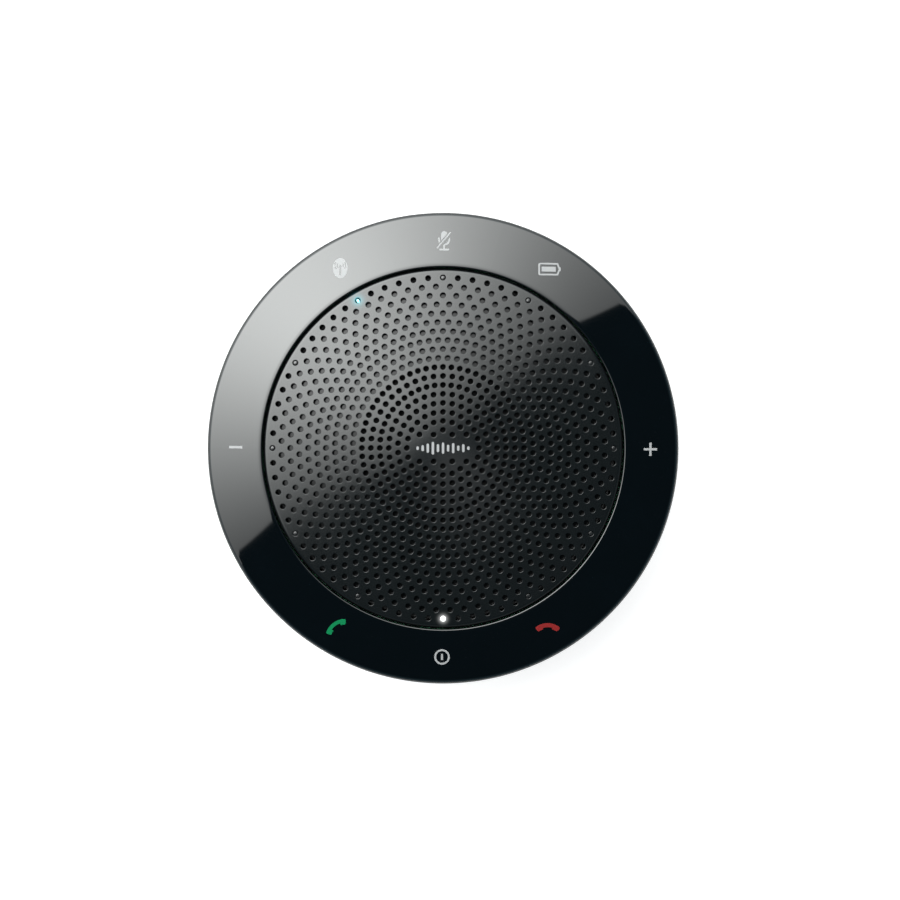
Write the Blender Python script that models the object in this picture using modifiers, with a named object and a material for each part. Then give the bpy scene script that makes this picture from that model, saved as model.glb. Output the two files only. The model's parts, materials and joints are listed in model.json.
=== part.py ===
"""Conference speakerphone, built as the pieces it comes apart into on a bench.

A round table-top unit. A gloss control ring with eight press places lies round a perforated grille,
over a bowl-shaped housing that stands on a spool, where its lead is wound away.

Frame: origin at the middle of the underside, +Z up, +Y towards the mute key, -Y towards the power
key. Sizes are in millimetres; MM turns them into Blender's metres.
"""

import math

import bmesh
import bpy
from mathutils import Matrix, Vector

MM = 0.001
GAP = 0.3  # clearance between neighbouring pieces
FINE = 40  # sides of the large turned pieces
COARSE = 24  # sides of the small turned pieces
MERGE_DISTANCE = 0.00001

# Control ring
RING_RADIUS = 60.0
RING_BORE = 46.0
RING_SKIRT_FOOT = 25.0
RING_LIP_FOOT = 27.6
RING_WALL = 1.3
RING_EDGE_FILLET = 1.5
RING_BORE_FILLET = 0.25
RING_CREST_HEIGHT = 29.8
RING_CREST_RADIUS = 46.6
RING_CREST_SLOPE = math.tan(math.radians(6.5))
RING_CURVATURE = 0.0064
RING_RIM_SLOPE = math.radians(11.0)  # where the top face meets the outer fillet
KEY_CIRCLE = 53.0
KEY_TRAVEL = 0.3
KEY_POST_RADIUS = 1.3

# Key name, the angle of its press place, and the angles where its sector starts and ends
KEYS = (
    ("volume_up", 0.0, -30.0, 30.0),
    ("battery", 60.0, 30.0, 75.0),
    ("mute", 90.0, 75.0, 105.0),
    ("wireless", 120.0, 105.0, 150.0),
    ("volume_down", 180.0, 150.0, 210.0),
    ("answer", 240.0, 210.0, 255.0),
    ("power", 270.0, 255.0, 285.0),
    ("end_call", 300.0, 285.0, 330.0),
)

# Grille: a cone with a rounded tip, laid over a shallow bowl curve
TOTAL_HEIGHT = 33.0
GRILLE_RADIUS = 45.7
GRILLE_EDGE = 1.0
GRILLE_WALL = 1.5
GRILLE_SKIRT_WALL = 0.8
GRILLE_SKIRT_FOOT = 26.8
DOME_CONE = 0.06
DOME_TIP = 8.0
DOME_BOWL = 0.00066
CLOTH_WALL = 0.3
CLOTH_RADIUS = 42.5

# Lamps and the light pins above them
LAMP_COUNT = 12
LAMP_CIRCLE = 43.4
PIN_RADIUS = 0.6

# Boards and switches
KEY_BOARD_TOP = 21.4
KEY_BOARD_FOOT = 20.0
SWITCH_TOP = 23.6
SWITCH_WELL_FOOT = 22.05
PLUNGER_TOP = 24.2
PLUNGER_RADIUS = 0.9
MAIN_BOARD_TOP = 14.8
MAIN_BOARD_FOOT = 13.4

# Lower housing, winding spool and foot
HOUSING_RADIUS = 59.5
HOUSING_RIM = 24.5
HOUSING_FLOOR_TOP = 12.2
GROOVE_TOP = 10.2
GROOVE_FOOT = 3.4
HUB_RADIUS = 34.0
HUB_BORE = 32.2
GROOVE_RADIUS = 43.5
FLANGE_RADIUS = 44.5
FLANGE_FOOT = 0.9
FOOT_INNER = 32.5
FOOT_OUTER = 39.5
FOOT_TOP = 1.6
SCREW_CIRCLE = 28.6
SCREW_ANGLES = (45.0, 135.0, 225.0, 315.0)
GLAND_HEIGHT = 6.95

# Colours as linear RGB, then roughness and metallic
FINISHES = {
    "gloss_black": ((0.006, 0.006, 0.007), 0.08, 0.0),
    "satin_charcoal": ((0.030, 0.031, 0.033), 0.32, 0.0),
    "matte_black": ((0.012, 0.012, 0.013), 0.55, 0.0),
    "black_cloth": ((0.010, 0.010, 0.011), 0.90, 0.0),
    "rubber_black": ((0.018, 0.018, 0.018), 0.80, 0.0),
    "clear_plastic": ((0.600, 0.620, 0.640), 0.20, 0.0),
    "board_green": ((0.010, 0.070, 0.035), 0.45, 0.0),
    "plated_steel": ((0.550, 0.550, 0.560), 0.30, 1.0),
    "ferrite": ((0.040, 0.040, 0.045), 0.60, 0.0),
    "copper_wire": ((0.640, 0.300, 0.160), 0.35, 1.0),
    "cone_paper": ((0.025, 0.025, 0.027), 0.75, 0.0),
    "cell_wrap": ((0.250, 0.270, 0.300), 0.35, 0.0),
    "foam_grey": ((0.080, 0.080, 0.085), 0.95, 0.0),
    "chip_black": ((0.015, 0.015, 0.016), 0.50, 0.0),
}


# Scene and materials

def start_scene():
    """Empty the scene and make the two collections."""
    for old in list(bpy.data.objects):
        bpy.data.objects.remove(old, do_unlink=True)
    collections = []
    for name in ("conference_speakerphone", "cutters"):
        collection = bpy.data.collections.new(name)
        bpy.context.scene.collection.children.link(collection)
        collections.append(collection)
    return collections


PARTS, CUTTERS = start_scene()


def finish_of(name):
    """Return the Principled material of one finish, made on first use."""
    material = bpy.data.materials.get(name)
    if material:
        return material
    colour, roughness, metallic = FINISHES[name]
    material = bpy.data.materials.new(name)
    material.use_nodes = True
    shader = material.node_tree.nodes["Principled BSDF"]
    shader.inputs["Base Color"].default_value = (*colour, 1.0)
    shader.inputs["Roughness"].default_value = roughness
    shader.inputs["Metallic"].default_value = metallic
    return material


def add_part(name, mesh, finish):
    """Link a mesh into the parts collection with its finish."""
    part = bpy.data.objects.new(name, mesh)
    mesh.materials.append(finish_of(finish))
    PARTS.objects.link(part)
    return part


def add_cutter(name, mesh):
    """Link a mesh into the cutters collection, shown as wire and never rendered."""
    cutter = bpy.data.objects.new(name, mesh)
    cutter.hide_render = True
    cutter.display_type = "WIRE"
    CUTTERS.objects.link(cutter)
    return cutter


# Shape helpers

def polar(radius, degrees, height=0.0):
    """Return a point in millimetres from its radius, angle and height."""
    angle = math.radians(degrees)
    return Vector((radius * math.cos(angle), radius * math.sin(angle), height))


def arc(centre, radius, start, end, count):
    """Return points on an arc in the (radius, height) plane, both ends included."""
    points = []
    for index in range(count + 1):
        angle = math.radians(start + (end - start) * index / count)
        points.append((centre[0] + radius * math.cos(angle), centre[1] + radius * math.sin(angle)))
    return points


def bezier(start, lead, trail, end, count):
    """Return points on a cubic curve in the (radius, height) plane, both ends included."""
    points = []
    for index in range(count + 1):
        t = index / count
        s = 1.0 - t
        weights = (s * s * s, 3 * s * s * t, 3 * s * t * t, t * t * t)
        corners = (start, lead, trail, end)
        points.append(tuple(sum(w * c[axis] for w, c in zip(weights, corners)) for axis in (0, 1)))
    return points


def turned(name, profile, finish, sides=FINE, ring=False):
    """Turn a profile that runs down its outer side. A ring profile closes on itself."""
    mesh = bpy.data.meshes.new(name)
    points = [(radius * MM, 0.0, height * MM) for radius, height in profile]
    edges = [(index, index + 1) for index in range(len(points) - 1)]
    if ring:
        edges.append((len(points) - 1, 0))
    mesh.from_pydata(points, edges, [])
    part = add_part(name, mesh, finish)
    screw = part.modifiers.new("turn", "SCREW")
    screw.steps = sides
    screw.render_steps = sides
    screw.use_merge_vertices = True
    screw.merge_threshold = MERGE_DISTANCE
    return part


def washer(name, inner, outer, foot, top, finish, sides=COARSE):
    """Turn a flat ring with square edges."""
    profile = [(outer, top), (outer, foot), (inner, foot), (inner, top)]
    return turned(name, profile, finish, sides, ring=True)


def cylinders_mesh(name, radius, foot, top, centres, sides):
    """Return one mesh with an upright cylinder at each centre."""
    shape = bmesh.new()
    for centre in centres:
        middle = Vector((centre[0], centre[1], (foot + top) / 2)) * MM
        bmesh.ops.create_cone(
            shape,
            cap_ends=True,
            segments=sides,
            radius1=radius * MM,
            radius2=radius * MM,
            depth=(top - foot) * MM,
            matrix=Matrix.Translation(middle),
        )
    mesh = bpy.data.meshes.new(name)
    shape.to_mesh(mesh)
    shape.free()
    return mesh


def boxes_mesh(name, size, centres, degrees=(0.0,)):
    """Return one mesh with a box at each centre, each turned by its own angle."""
    shape = bmesh.new()
    scale = Matrix.Diagonal((size[0] * MM, size[1] * MM, size[2] * MM, 1.0))
    for centre, turn in zip(centres, degrees):
        place = Matrix.Translation(Vector(centre) * MM) @ Matrix.Rotation(math.radians(turn), 4, "Z")
        bmesh.ops.create_cube(shape, size=1.0, matrix=place @ scale)
    mesh = bpy.data.meshes.new(name)
    shape.to_mesh(mesh)
    shape.free()
    return mesh


def combine(part, tool, operation):
    """Cut a part with a tool, or join the tool to it."""
    modifier = part.modifiers.new(tool.name, "BOOLEAN")
    modifier.operation = operation
    modifier.solver = "EXACT"
    modifier.object = tool


def round_edges(part, width, segments=2):
    """Round every sharp edge of a part."""
    bevel = part.modifiers.new("round_edges", "BEVEL")
    bevel.width = width * MM
    bevel.segments = segments
    bevel.limit_method = "ANGLE"


def set_origin(part, point):
    """Move a part's origin to a point in millimetres and leave its shape in place."""
    place = Vector(point) * MM
    part.data.transform(Matrix.Translation(-place))
    part.location = place


def settle(part):
    """Apply a part's modifiers and shade its round faces smooth."""
    bpy.context.view_layer.update()
    depsgraph = bpy.context.evaluated_depsgraph_get()
    mesh = bpy.data.meshes.new_from_object(part.evaluated_get(depsgraph))
    part.modifiers.clear()
    part.data = mesh
    mesh.shade_smooth()
    mesh.set_sharp_from_angle(angle=math.radians(30.0))


# Shared curves

def dome_height(radius):
    """Return the height of the grille's top face at a radius."""
    cone = DOME_CONE * (math.hypot(radius, DOME_TIP) - DOME_TIP)
    return TOTAL_HEIGHT - cone - DOME_BOWL * radius * radius


def dome_points(radius, drop, count):
    """Return points down the dome from its middle to a radius, lowered by a drop."""
    points = []
    for index in range(count + 1):
        step = radius * index / count
        points.append((step, dome_height(step) - drop))
    return points


def ring_height(radius):
    """Return the height of the control ring's top face at a radius."""
    run = radius - RING_CREST_RADIUS
    return RING_CREST_HEIGHT - RING_CREST_SLOPE * run - RING_CURVATURE * run * run / 2


# Top of the unit

def build_grille():
    """Make the domed grille plate with its skirt and the holes for the light pins."""
    edge = GRILLE_RADIUS - GRILLE_EDGE
    skirt_bore = GRILLE_RADIUS - GRILLE_SKIRT_WALL
    profile = dome_points(edge, 0.0, 7)
    profile += arc((edge, dome_height(edge) - GRILLE_EDGE), GRILLE_EDGE, 45.0, 0.0, 1)
    profile += [(GRILLE_RADIUS, GRILLE_SKIRT_FOOT), (skirt_bore, GRILLE_SKIRT_FOOT)]
    profile += reversed(dome_points(skirt_bore, GRILLE_WALL, 6))
    grille = turned("speaker_grille", profile, "satin_charcoal")
    centres = [polar(LAMP_CIRCLE, 360.0 * index / LAMP_COUNT) for index in range(LAMP_COUNT)]
    holes = cylinders_mesh("pin_holes", PIN_RADIUS + GAP, 26.0, 32.0, centres, 10)
    combine(grille, add_cutter("pin_holes", holes), "DIFFERENCE")
    settle(grille)


def build_cloth():
    """Make the acoustic cloth that lies against the grille's underside."""
    drop = GRILLE_WALL + GAP
    profile = dome_points(CLOTH_RADIUS, drop, 6)
    profile += reversed(dome_points(CLOTH_RADIUS, drop + CLOTH_WALL, 6))
    settle(turned("acoustic_cloth", profile, "black_cloth", 28))


def build_light_ring():
    """Make the clear light ring with a pin under each lamp hole of the grille."""
    ring = washer("light_ring", 42.7, 44.5, 23.0, 24.4, "clear_plastic", FINE)
    centres = [polar(LAMP_CIRCLE, 360.0 * index / LAMP_COUNT) for index in range(LAMP_COUNT)]
    pin_top = dome_height(LAMP_CIRCLE) - 0.05
    pins = cylinders_mesh("light_pins", PIN_RADIUS, 23.8, pin_top, centres, 10)
    combine(ring, add_cutter("light_pins", pins), "UNION")
    settle(ring)


def key_profile():
    """Return the control ring's section: a skirt, a curved top, a bore lip and a wall under them."""
    edge_centre = RING_RADIUS - RING_EDGE_FILLET
    outer_top = RING_RADIUS - RING_EDGE_FILLET * (1.0 - math.sin(RING_RIM_SLOPE))
    edge_height = ring_height(outer_top) - RING_EDGE_FILLET * math.cos(RING_RIM_SLOPE)
    bore_centre = RING_BORE + RING_BORE_FILLET
    bore_height = ring_height(bore_centre) - RING_BORE_FILLET
    profile = arc((edge_centre, edge_height), RING_EDGE_FILLET, 90.0 - math.degrees(RING_RIM_SLOPE), 0.0, 3)
    profile += [(RING_RADIUS, RING_SKIRT_FOOT), (RING_RADIUS - RING_WALL, RING_SKIRT_FOOT)]
    for radius in (RING_RADIUS - RING_WALL, 53.0, RING_BORE + RING_WALL):
        profile.append((radius, ring_height(radius) - RING_WALL))
    profile += [(RING_BORE + RING_WALL, RING_LIP_FOOT), (RING_BORE, RING_LIP_FOOT)]
    profile += arc((bore_centre, bore_height), RING_BORE_FILLET, 180.0, 90.0, 2)
    profile += [(49.6, ring_height(49.6)), (52.8, ring_height(52.8)), (56.0, ring_height(56.0))]
    return profile


def spun_sector(name, profile, start, end, steps, finish):
    """Spin a filled profile about Z from one angle to another."""
    shape = bmesh.new()
    corners = [shape.verts.new((radius * MM, 0.0, height * MM)) for radius, height in profile]
    face = shape.faces.new(corners)
    turn_to_start = Matrix.Rotation(math.radians(start), 3, "Z")
    bmesh.ops.rotate(shape, verts=shape.verts, cent=(0, 0, 0), matrix=turn_to_start)
    bmesh.ops.spin(
        shape,
        geom=[face, *face.edges, *face.verts],
        cent=(0, 0, 0),
        axis=(0, 0, 1),
        dvec=(0, 0, 0),
        angle=math.radians(end - start),
        steps=steps,
        use_merge=False,
        use_duplicate=False,
    )
    bmesh.ops.recalc_face_normals(shape, faces=shape.faces)
    mesh = bpy.data.meshes.new(name)
    shape.to_mesh(mesh)
    shape.free()
    return add_part(name, mesh, finish)


def build_key(name, press_angle, start, end):
    """Make one sector of the control ring with the post that pushes its switch."""
    half_gap = math.degrees(GAP / 2 / RING_BORE)
    steps = 2 * round((end - start) / 15.0)
    span = (start + half_gap, end - half_gap)
    key = spun_sector(f"key_{name}", key_profile(), *span, steps, "gloss_black")
    centre = polar(KEY_CIRCLE, press_angle)
    post_top = ring_height(KEY_CIRCLE) - RING_WALL / 2
    post = cylinders_mesh(f"post_{name}", KEY_POST_RADIUS, PLUNGER_TOP + GAP, post_top, [centre], 10)
    combine(key, add_cutter(f"post_{name}", post), "UNION")
    settle(key)
    set_origin(key, polar(KEY_CIRCLE, press_angle, ring_height(KEY_CIRCLE)))


def build_switch(name, press_angle):
    """Make one tact switch: a body with a well, and the plunger that sinks into it."""
    centre = polar(KEY_CIRCLE, press_angle)
    foot = KEY_BOARD_TOP + GAP
    middle = (centre.x, centre.y, (foot + SWITCH_TOP) / 2)
    body_mesh = boxes_mesh(f"switch_{name}", (3.6, 4.6, SWITCH_TOP - foot), [middle], [press_angle])
    body = add_part(f"switch_{name}", body_mesh, "chip_black")
    well_radius = PLUNGER_RADIUS + GAP
    well = cylinders_mesh(f"well_{name}", well_radius, SWITCH_WELL_FOOT, 25.0, [centre], 10)
    combine(body, add_cutter(f"well_{name}", well), "DIFFERENCE")
    settle(body)
    plunger_foot = SWITCH_WELL_FOOT + KEY_TRAVEL + GAP / 2
    mesh = cylinders_mesh(f"plunger_{name}", PLUNGER_RADIUS, plunger_foot, PLUNGER_TOP, [centre], 10)
    plunger = add_part(f"plunger_{name}", mesh, "matte_black")
    settle(plunger)
    set_origin(plunger, (centre.x, centre.y, PLUNGER_TOP))


def build_top_frame():
    """Make the frame that carries the driver, the grille's shoulder and the key board."""
    profile = [
        (55.0, 19.7), (55.0, 18.4), (40.8, 18.4), (40.8, 24.7), (32.2, 24.7),
        (29.8, 27.0), (28.6, 27.9), (25.0, 27.9), (25.0, 28.8), (28.0, 28.8),
        (31.0, 28.3), (33.0, 26.0), (38.6, 26.0), (39.9, 27.3), (42.3, 27.3), (42.3, 19.7),
    ]
    settle(turned("top_frame", profile, "matte_black", ring=True))


def build_key_board():
    """Make the ring-shaped key board with its twelve soldered lamps."""
    board = washer("key_board", 42.6, 56.0, KEY_BOARD_FOOT, KEY_BOARD_TOP, "board_green", FINE)
    angles = [360.0 * index / LAMP_COUNT for index in range(LAMP_COUNT)]
    centres = [polar(LAMP_CIRCLE, angle, KEY_BOARD_TOP + 0.35) for angle in angles]
    lamps = boxes_mesh("lamps", (1.2, 1.6, 0.9), centres, angles)
    combine(board, add_cutter("lamps", lamps), "UNION")
    settle(board)


def build_microphone():
    """Make the microphone capsule and the rubber boot that holds it behind the grille."""
    place = (0.0, -35.8)
    boot_mesh = cylinders_mesh("microphone_boot", 2.4, 26.3, 27.9, [place], 16)
    boot = add_part("microphone_boot", boot_mesh, "rubber_black")
    well = cylinders_mesh("microphone_well", 1.9, 26.6, 28.5, [place], 16)
    combine(boot, add_cutter("microphone_well", well), "DIFFERENCE")
    settle(boot)
    capsule = cylinders_mesh("microphone", 1.6, 26.9, 27.8, [place], 16)
    settle(add_part("microphone", capsule, "plated_steel"))


# Loudspeaker

def build_magnet_system():
    """Make the yoke with its pole, the ring magnet and the top plate."""
    yoke = [(0.0, 21.0), (6.0, 21.0), (6.0, 14.9), (15.0, 14.9), (15.0, 12.9), (0.0, 12.9)]
    settle(turned("driver_yoke", yoke, "plated_steel", COARSE))
    settle(washer("driver_magnet", 8.5, 16.0, 15.2, 19.2, "ferrite"))
    settle(washer("driver_top_plate", 7.2, 15.5, 19.5, 21.0, "plated_steel"))


def build_basket():
    """Make the driver's basket, with six windows between its spokes, and its gasket."""
    profile = [
        (27.0, 26.0), (27.0, 25.2), (24.2, 25.2), (17.0, 21.3), (9.0, 21.3), (9.0, 22.1),
        (14.4, 22.1), (14.4, 22.4), (16.2, 22.4), (23.2, 26.0),
    ]
    basket = turned("driver_basket", profile, "matte_black", 30, ring=True)
    angles = [60.0 * index + 30.0 for index in range(6)]
    centres = [polar(20.2, angle, 23.6) for angle in angles]
    windows = boxes_mesh("basket_windows", (3.4, 9.0, 6.0), centres, angles)
    combine(basket, add_cutter("basket_windows", windows), "DIFFERENCE")
    settle(basket)
    settle(washer("speaker_gasket", 25.0, 26.8, 27.0, 27.6, "foam_grey"))


def build_diaphragm():
    """Make the pieces that move together: cone, dust cap and voice coil."""
    cone = [(21.2, 27.1), (21.2, 26.6), (13.0, 24.7), (6.3, 23.4), (6.3, 23.9), (13.0, 25.2)]
    cap = arc((0.0, 9.0), 17.3, 90.0, 63.2, 4) + arc((0.0, 9.0), 16.9, 64.2, 90.0, 4)
    moving = [
        turned("driver_cone", cone, "cone_paper", COARSE, ring=True),
        turned("dust_cap", cap, "cone_paper", COARSE),
        washer("voice_coil", 6.35, 6.85, 17.5, 23.0, "copper_wire"),
    ]
    for piece in moving:
        settle(piece)
        set_origin(piece, (0.0, 0.0, 23.0))


def build_suspension():
    """Make the half-roll surround and the corrugated spider that let the cone move."""
    roll = (23.05, 26.3)
    surround = [(26.8, 26.7), (26.8, 26.3)]
    surround += arc(roll, 1.15, 0.0, 180.0, 4)
    surround += arc(roll, 1.55, 180.0, 15.0, 5)
    settle(turned("driver_surround", surround, "rubber_black", COARSE, ring=True))
    stations = [15.8 - 8.7 * index / 8 for index in range(9)]
    heights = [22.9 + (0.2 if index in (3, 5) else 0.0) for index in range(len(stations))]
    foot = [(radius, height - 0.2) for radius, height in zip(stations, heights)]
    top = [(radius, height + 0.2) for radius, height in zip(stations, heights)]
    settle(turned("driver_spider", foot + top[::-1], "cone_paper", COARSE, ring=True))


# Lower half

def build_housing():
    """Make the bowl with its winding hub, screw bosses and board posts."""
    outer_foot = (GROOVE_RADIUS, GROOVE_TOP + 0.5)
    outside = bezier(outer_foot, (51.5, 11.6), (59.0, 16.4), (HOUSING_RADIUS, 23.0), 7)
    inside = bezier((41.6, HOUSING_FLOOR_TOP), (51.2, 13.5), (57.0, 17.8), (57.5, 23.0), 5)
    profile = [(0.0, HOUSING_FLOOR_TOP)] + inside + [(57.5, HOUSING_RIM), (HOUSING_RADIUS, HOUSING_RIM)]
    profile += list(reversed(outside))
    profile += [(GROOVE_RADIUS - 0.6, GROOVE_TOP), (HUB_RADIUS, GROOVE_TOP)]
    profile += [(HUB_RADIUS, GROOVE_FOOT + GAP), (HUB_BORE, GROOVE_FOOT + GAP)]
    profile += [(HUB_BORE, GROOVE_TOP), (0.0, GROOVE_TOP)]
    housing = turned("lower_housing", profile, "matte_black")
    screws = [polar(SCREW_CIRCLE, angle) for angle in SCREW_ANGLES]
    bosses = cylinders_mesh("screw_bosses", 2.4, 5.9, GROOVE_TOP + 0.8, screws, 12)
    combine(housing, add_cutter("screw_bosses", bosses), "UNION")
    posts = [polar(38.0, angle + 45.0) for angle in SCREW_ANGLES]
    post_top = MAIN_BOARD_FOOT - GAP
    board_posts = cylinders_mesh("board_posts", 2.0, HOUSING_FLOOR_TOP - 0.8, post_top, posts, 10)
    combine(housing, add_cutter("board_posts", board_posts), "UNION")
    pilots = cylinders_mesh("screw_pilots", 1.4, 5.0, 10.0, screws, 10)
    combine(housing, add_cutter("screw_pilots", pilots), "DIFFERENCE")
    wire_hole = cylinders_mesh("wire_hole", 2.0, 9.0, 13.0, [(-24.0, 0.0)], 12)
    combine(housing, add_cutter("wire_hole", wire_hole), "DIFFERENCE")
    gland_hole = add_cutter("gland_hole", cylinders_mesh("gland_hole", 2.7, -4.0, 4.0, [(0.0, 0.0)], 14))
    gland_hole.rotation_euler = (math.radians(90.0), 0.0, 0.0)
    gland_hole.location = Vector((0.0, HUB_RADIUS - 1.0, GLAND_HEIGHT)) * MM
    combine(housing, gland_hole, "DIFFERENCE")
    settle(housing)


def build_base_cover():
    """Make the flange that closes the hub, with the foot's seat, screw holes and a lead notch."""
    edge = FLANGE_RADIUS - 0.8
    seat = FOOT_TOP + GAP
    profile = [
        (0.0, GROOVE_FOOT), (edge, GROOVE_FOOT), (FLANGE_RADIUS - 0.2, GROOVE_FOOT - 0.25),
        (FLANGE_RADIUS, GROOVE_FOOT - 0.8), (FLANGE_RADIUS, FLANGE_FOOT + 0.6), (edge, FLANGE_FOOT),
        (FOOT_OUTER + GAP, FLANGE_FOOT), (FOOT_OUTER + GAP, seat), (FOOT_INNER - GAP, seat),
        (FOOT_INNER - GAP, FLANGE_FOOT), (0.0, FLANGE_FOOT),
    ]
    cover = turned("base_cover", profile, "matte_black")
    screws = [polar(SCREW_CIRCLE, angle) for angle in SCREW_ANGLES]
    counterbores = cylinders_mesh("counterbores", 2.7, 0.0, 2.3, screws, 16)
    combine(cover, add_cutter("counterbores", counterbores), "DIFFERENCE")
    through = cylinders_mesh("screw_holes", 1.4, 2.0, 4.0, screws, 10)
    combine(cover, add_cutter("screw_holes", through), "DIFFERENCE")
    notch = boxes_mesh("lead_notch", (3.6, 4.0, 6.0), [(0.0, FLANGE_RADIUS - 1.2, 2.0)])
    combine(cover, add_cutter("lead_notch", notch), "DIFFERENCE")
    settle(cover)


def build_foot():
    """Make the rubber foot ring the unit stands on."""
    chamfer = 0.4
    profile = [
        (FOOT_OUTER, FOOT_TOP), (FOOT_OUTER, chamfer), (FOOT_OUTER - chamfer, 0.0),
        (FOOT_INNER + chamfer, 0.0), (FOOT_INNER, chamfer), (FOOT_INNER, FOOT_TOP),
    ]
    settle(turned("foot_ring", profile, "rubber_black", ring=True))


def build_gland():
    """Make the rubber gland in the hub wall, with its bore for the lead."""
    bore = 1.7
    profile = [
        (2.1, 4.0), (2.9, 1.3), (2.4, 1.3), (2.4, -1.3), (2.9, -1.3), (2.9, -2.4),
        (bore, -2.4), (bore, 4.0),
    ]
    gland = turned("lead_gland", profile, "rubber_black", 16, ring=True)
    settle(gland)
    gland.rotation_euler = (math.radians(-90.0), 0.0, 0.0)
    gland.location = Vector((0.0, HUB_RADIUS - 1.0, GLAND_HEIGHT)) * MM


def build_screws():
    """Make the four screws that hold the base cover."""
    profile = [
        (0.0, 8.6), (0.5, 8.2), (1.05, 7.0), (1.05, 2.0), (2.3, 2.0), (2.3, 1.6), (1.7, 1.15), (0.0, 1.1),
    ]
    for number, angle in enumerate(SCREW_ANGLES, start=1):
        screw = turned(f"base_screw_{number}", profile, "plated_steel", 14)
        settle(screw)
        screw.location = polar(SCREW_CIRCLE, angle) * MM


# Electronics

def build_electronics():
    """Make the main board with its chip and shield can, and the battery with its pad."""
    settle(washer("main_board", 19.0, 45.0, MAIN_BOARD_FOOT, MAIN_BOARD_TOP, "board_green", 32))
    foot = MAIN_BOARD_TOP + GAP
    chip = boxes_mesh("processor_chip", (11.0, 11.0, 1.1), [(29.0, 8.0, foot + 0.55)])
    settle(add_part("processor_chip", chip, "chip_black"))
    can_mesh = boxes_mesh("shield_can", (17.0, 22.0, 2.4), [(-31.0, 0.0, foot + 1.2)])
    can = add_part("shield_can", can_mesh, "plated_steel")
    hollow = boxes_mesh("can_hollow", (16.0, 21.0, 2.4), [(-31.0, 0.0, foot + 0.7)])
    combine(can, add_cutter("can_hollow", hollow), "DIFFERENCE")
    settle(can)
    battery_mesh = boxes_mesh("battery", (36.0, 36.0, 5.0), [(0.0, 0.0, 6.3)])
    battery = add_part("battery", battery_mesh, "cell_wrap")
    round_edges(battery, 0.8)
    settle(battery)
    pad = boxes_mesh("battery_pad", (30.0, 30.0, 0.7), [(0.0, 0.0, 9.5)])
    settle(add_part("battery_pad", pad, "foam_grey"))


def main():
    """Build every piece from the top down."""
    build_grille()
    build_cloth()
    build_light_ring()
    for name, press_angle, start, end in KEYS:
        build_key(name, press_angle, start, end)
        build_switch(name, press_angle)
    build_top_frame()
    build_key_board()
    build_microphone()
    build_magnet_system()
    build_basket()
    build_diaphragm()
    build_suspension()
    build_electronics()
    build_housing()
    build_base_cover()
    build_foot()
    build_gland()
    build_screws()


main()
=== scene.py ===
"""Looks of a round conference speakerphone: fine pieces and finishes laid over its fixed frame.

Sizes are in millimetres and angles in degrees unless a name says otherwise. MM turns a length into
metres. +Z is up, +Y points at the mute key and +X at the volume up key; angles turn from +X to +Y.
"""

import json
import logging
import math
from dataclasses import dataclass, field
from enum import Enum
from typing import Callable, Iterable, Optional, Sequence, Union

import bmesh
import bpy
from bmesh.types import BMesh
from bpy.types import Material, Node, NodeSocket, NodeTree, Object
from mathutils import Matrix, Vector


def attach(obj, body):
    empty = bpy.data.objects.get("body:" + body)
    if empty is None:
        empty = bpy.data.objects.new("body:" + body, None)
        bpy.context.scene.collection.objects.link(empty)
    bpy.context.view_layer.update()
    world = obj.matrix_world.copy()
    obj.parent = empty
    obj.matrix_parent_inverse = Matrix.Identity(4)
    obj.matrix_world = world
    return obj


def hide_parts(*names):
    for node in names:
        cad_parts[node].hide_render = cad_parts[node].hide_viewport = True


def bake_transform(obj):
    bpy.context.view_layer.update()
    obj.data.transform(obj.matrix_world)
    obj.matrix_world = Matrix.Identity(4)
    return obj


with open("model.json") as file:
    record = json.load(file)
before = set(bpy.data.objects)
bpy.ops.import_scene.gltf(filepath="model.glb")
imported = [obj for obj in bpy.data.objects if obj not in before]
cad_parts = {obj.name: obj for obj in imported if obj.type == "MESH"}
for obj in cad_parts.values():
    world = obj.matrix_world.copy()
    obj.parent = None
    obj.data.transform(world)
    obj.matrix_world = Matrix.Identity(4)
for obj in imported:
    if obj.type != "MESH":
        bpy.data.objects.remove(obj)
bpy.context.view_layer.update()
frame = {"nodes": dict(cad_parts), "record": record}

MM = 0.001
TINY = 0.0001  # two points nearer than this are the same point
LOG = logging.getLogger("speakerphone")

Colour = tuple[float, float, float]
Point2 = tuple[float, float]
Value = Union[NodeSocket, float, Sequence[float]]


class Body(str, Enum):
    """A body of the frame that does not belong to one key."""

    BASE = "base_unit"
    DIAPHRAGM = "diaphragm"


class LampState(Enum):
    """What a status lamp shows."""

    OFF = "off"
    LINKED = "linked"
    POWERED = "powered"


class Glyph(Enum):
    """The sign printed over a press place."""

    PLUS = "plus"
    MINUS = "minus"
    BATTERY = "battery"
    MICROPHONE_OFF = "microphone_off"
    WIRELESS = "wireless"
    LIFT = "lift"
    POWER = "power"
    HANG_UP = "hang_up"


# Curves that several pieces share


def polar(radius: float, degrees: float, height: float = 0.0) -> Vector:
    """Return the point at a radius, angle and height."""
    turn = math.radians(degrees)
    return Vector((radius * math.cos(turn), radius * math.sin(turn), height))


def arc(centre: Point2, radius: float, start: float, end: float, count: int) -> list[Point2]:
    """Return points along an arc in the plane of radius and height.

    Args:
        centre: Middle of the arc.
        radius: Its radius.
        start: Angle of the first point.
        end: Angle of the last point.
        count: Number of steps between them.

    Returns:
        The points, both ends included.
    """
    turns = [math.radians(start + (end - start) * step / count) for step in range(count + 1)]
    return [(centre[0] + radius * math.cos(turn), centre[1] + radius * math.sin(turn)) for turn in turns]


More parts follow.
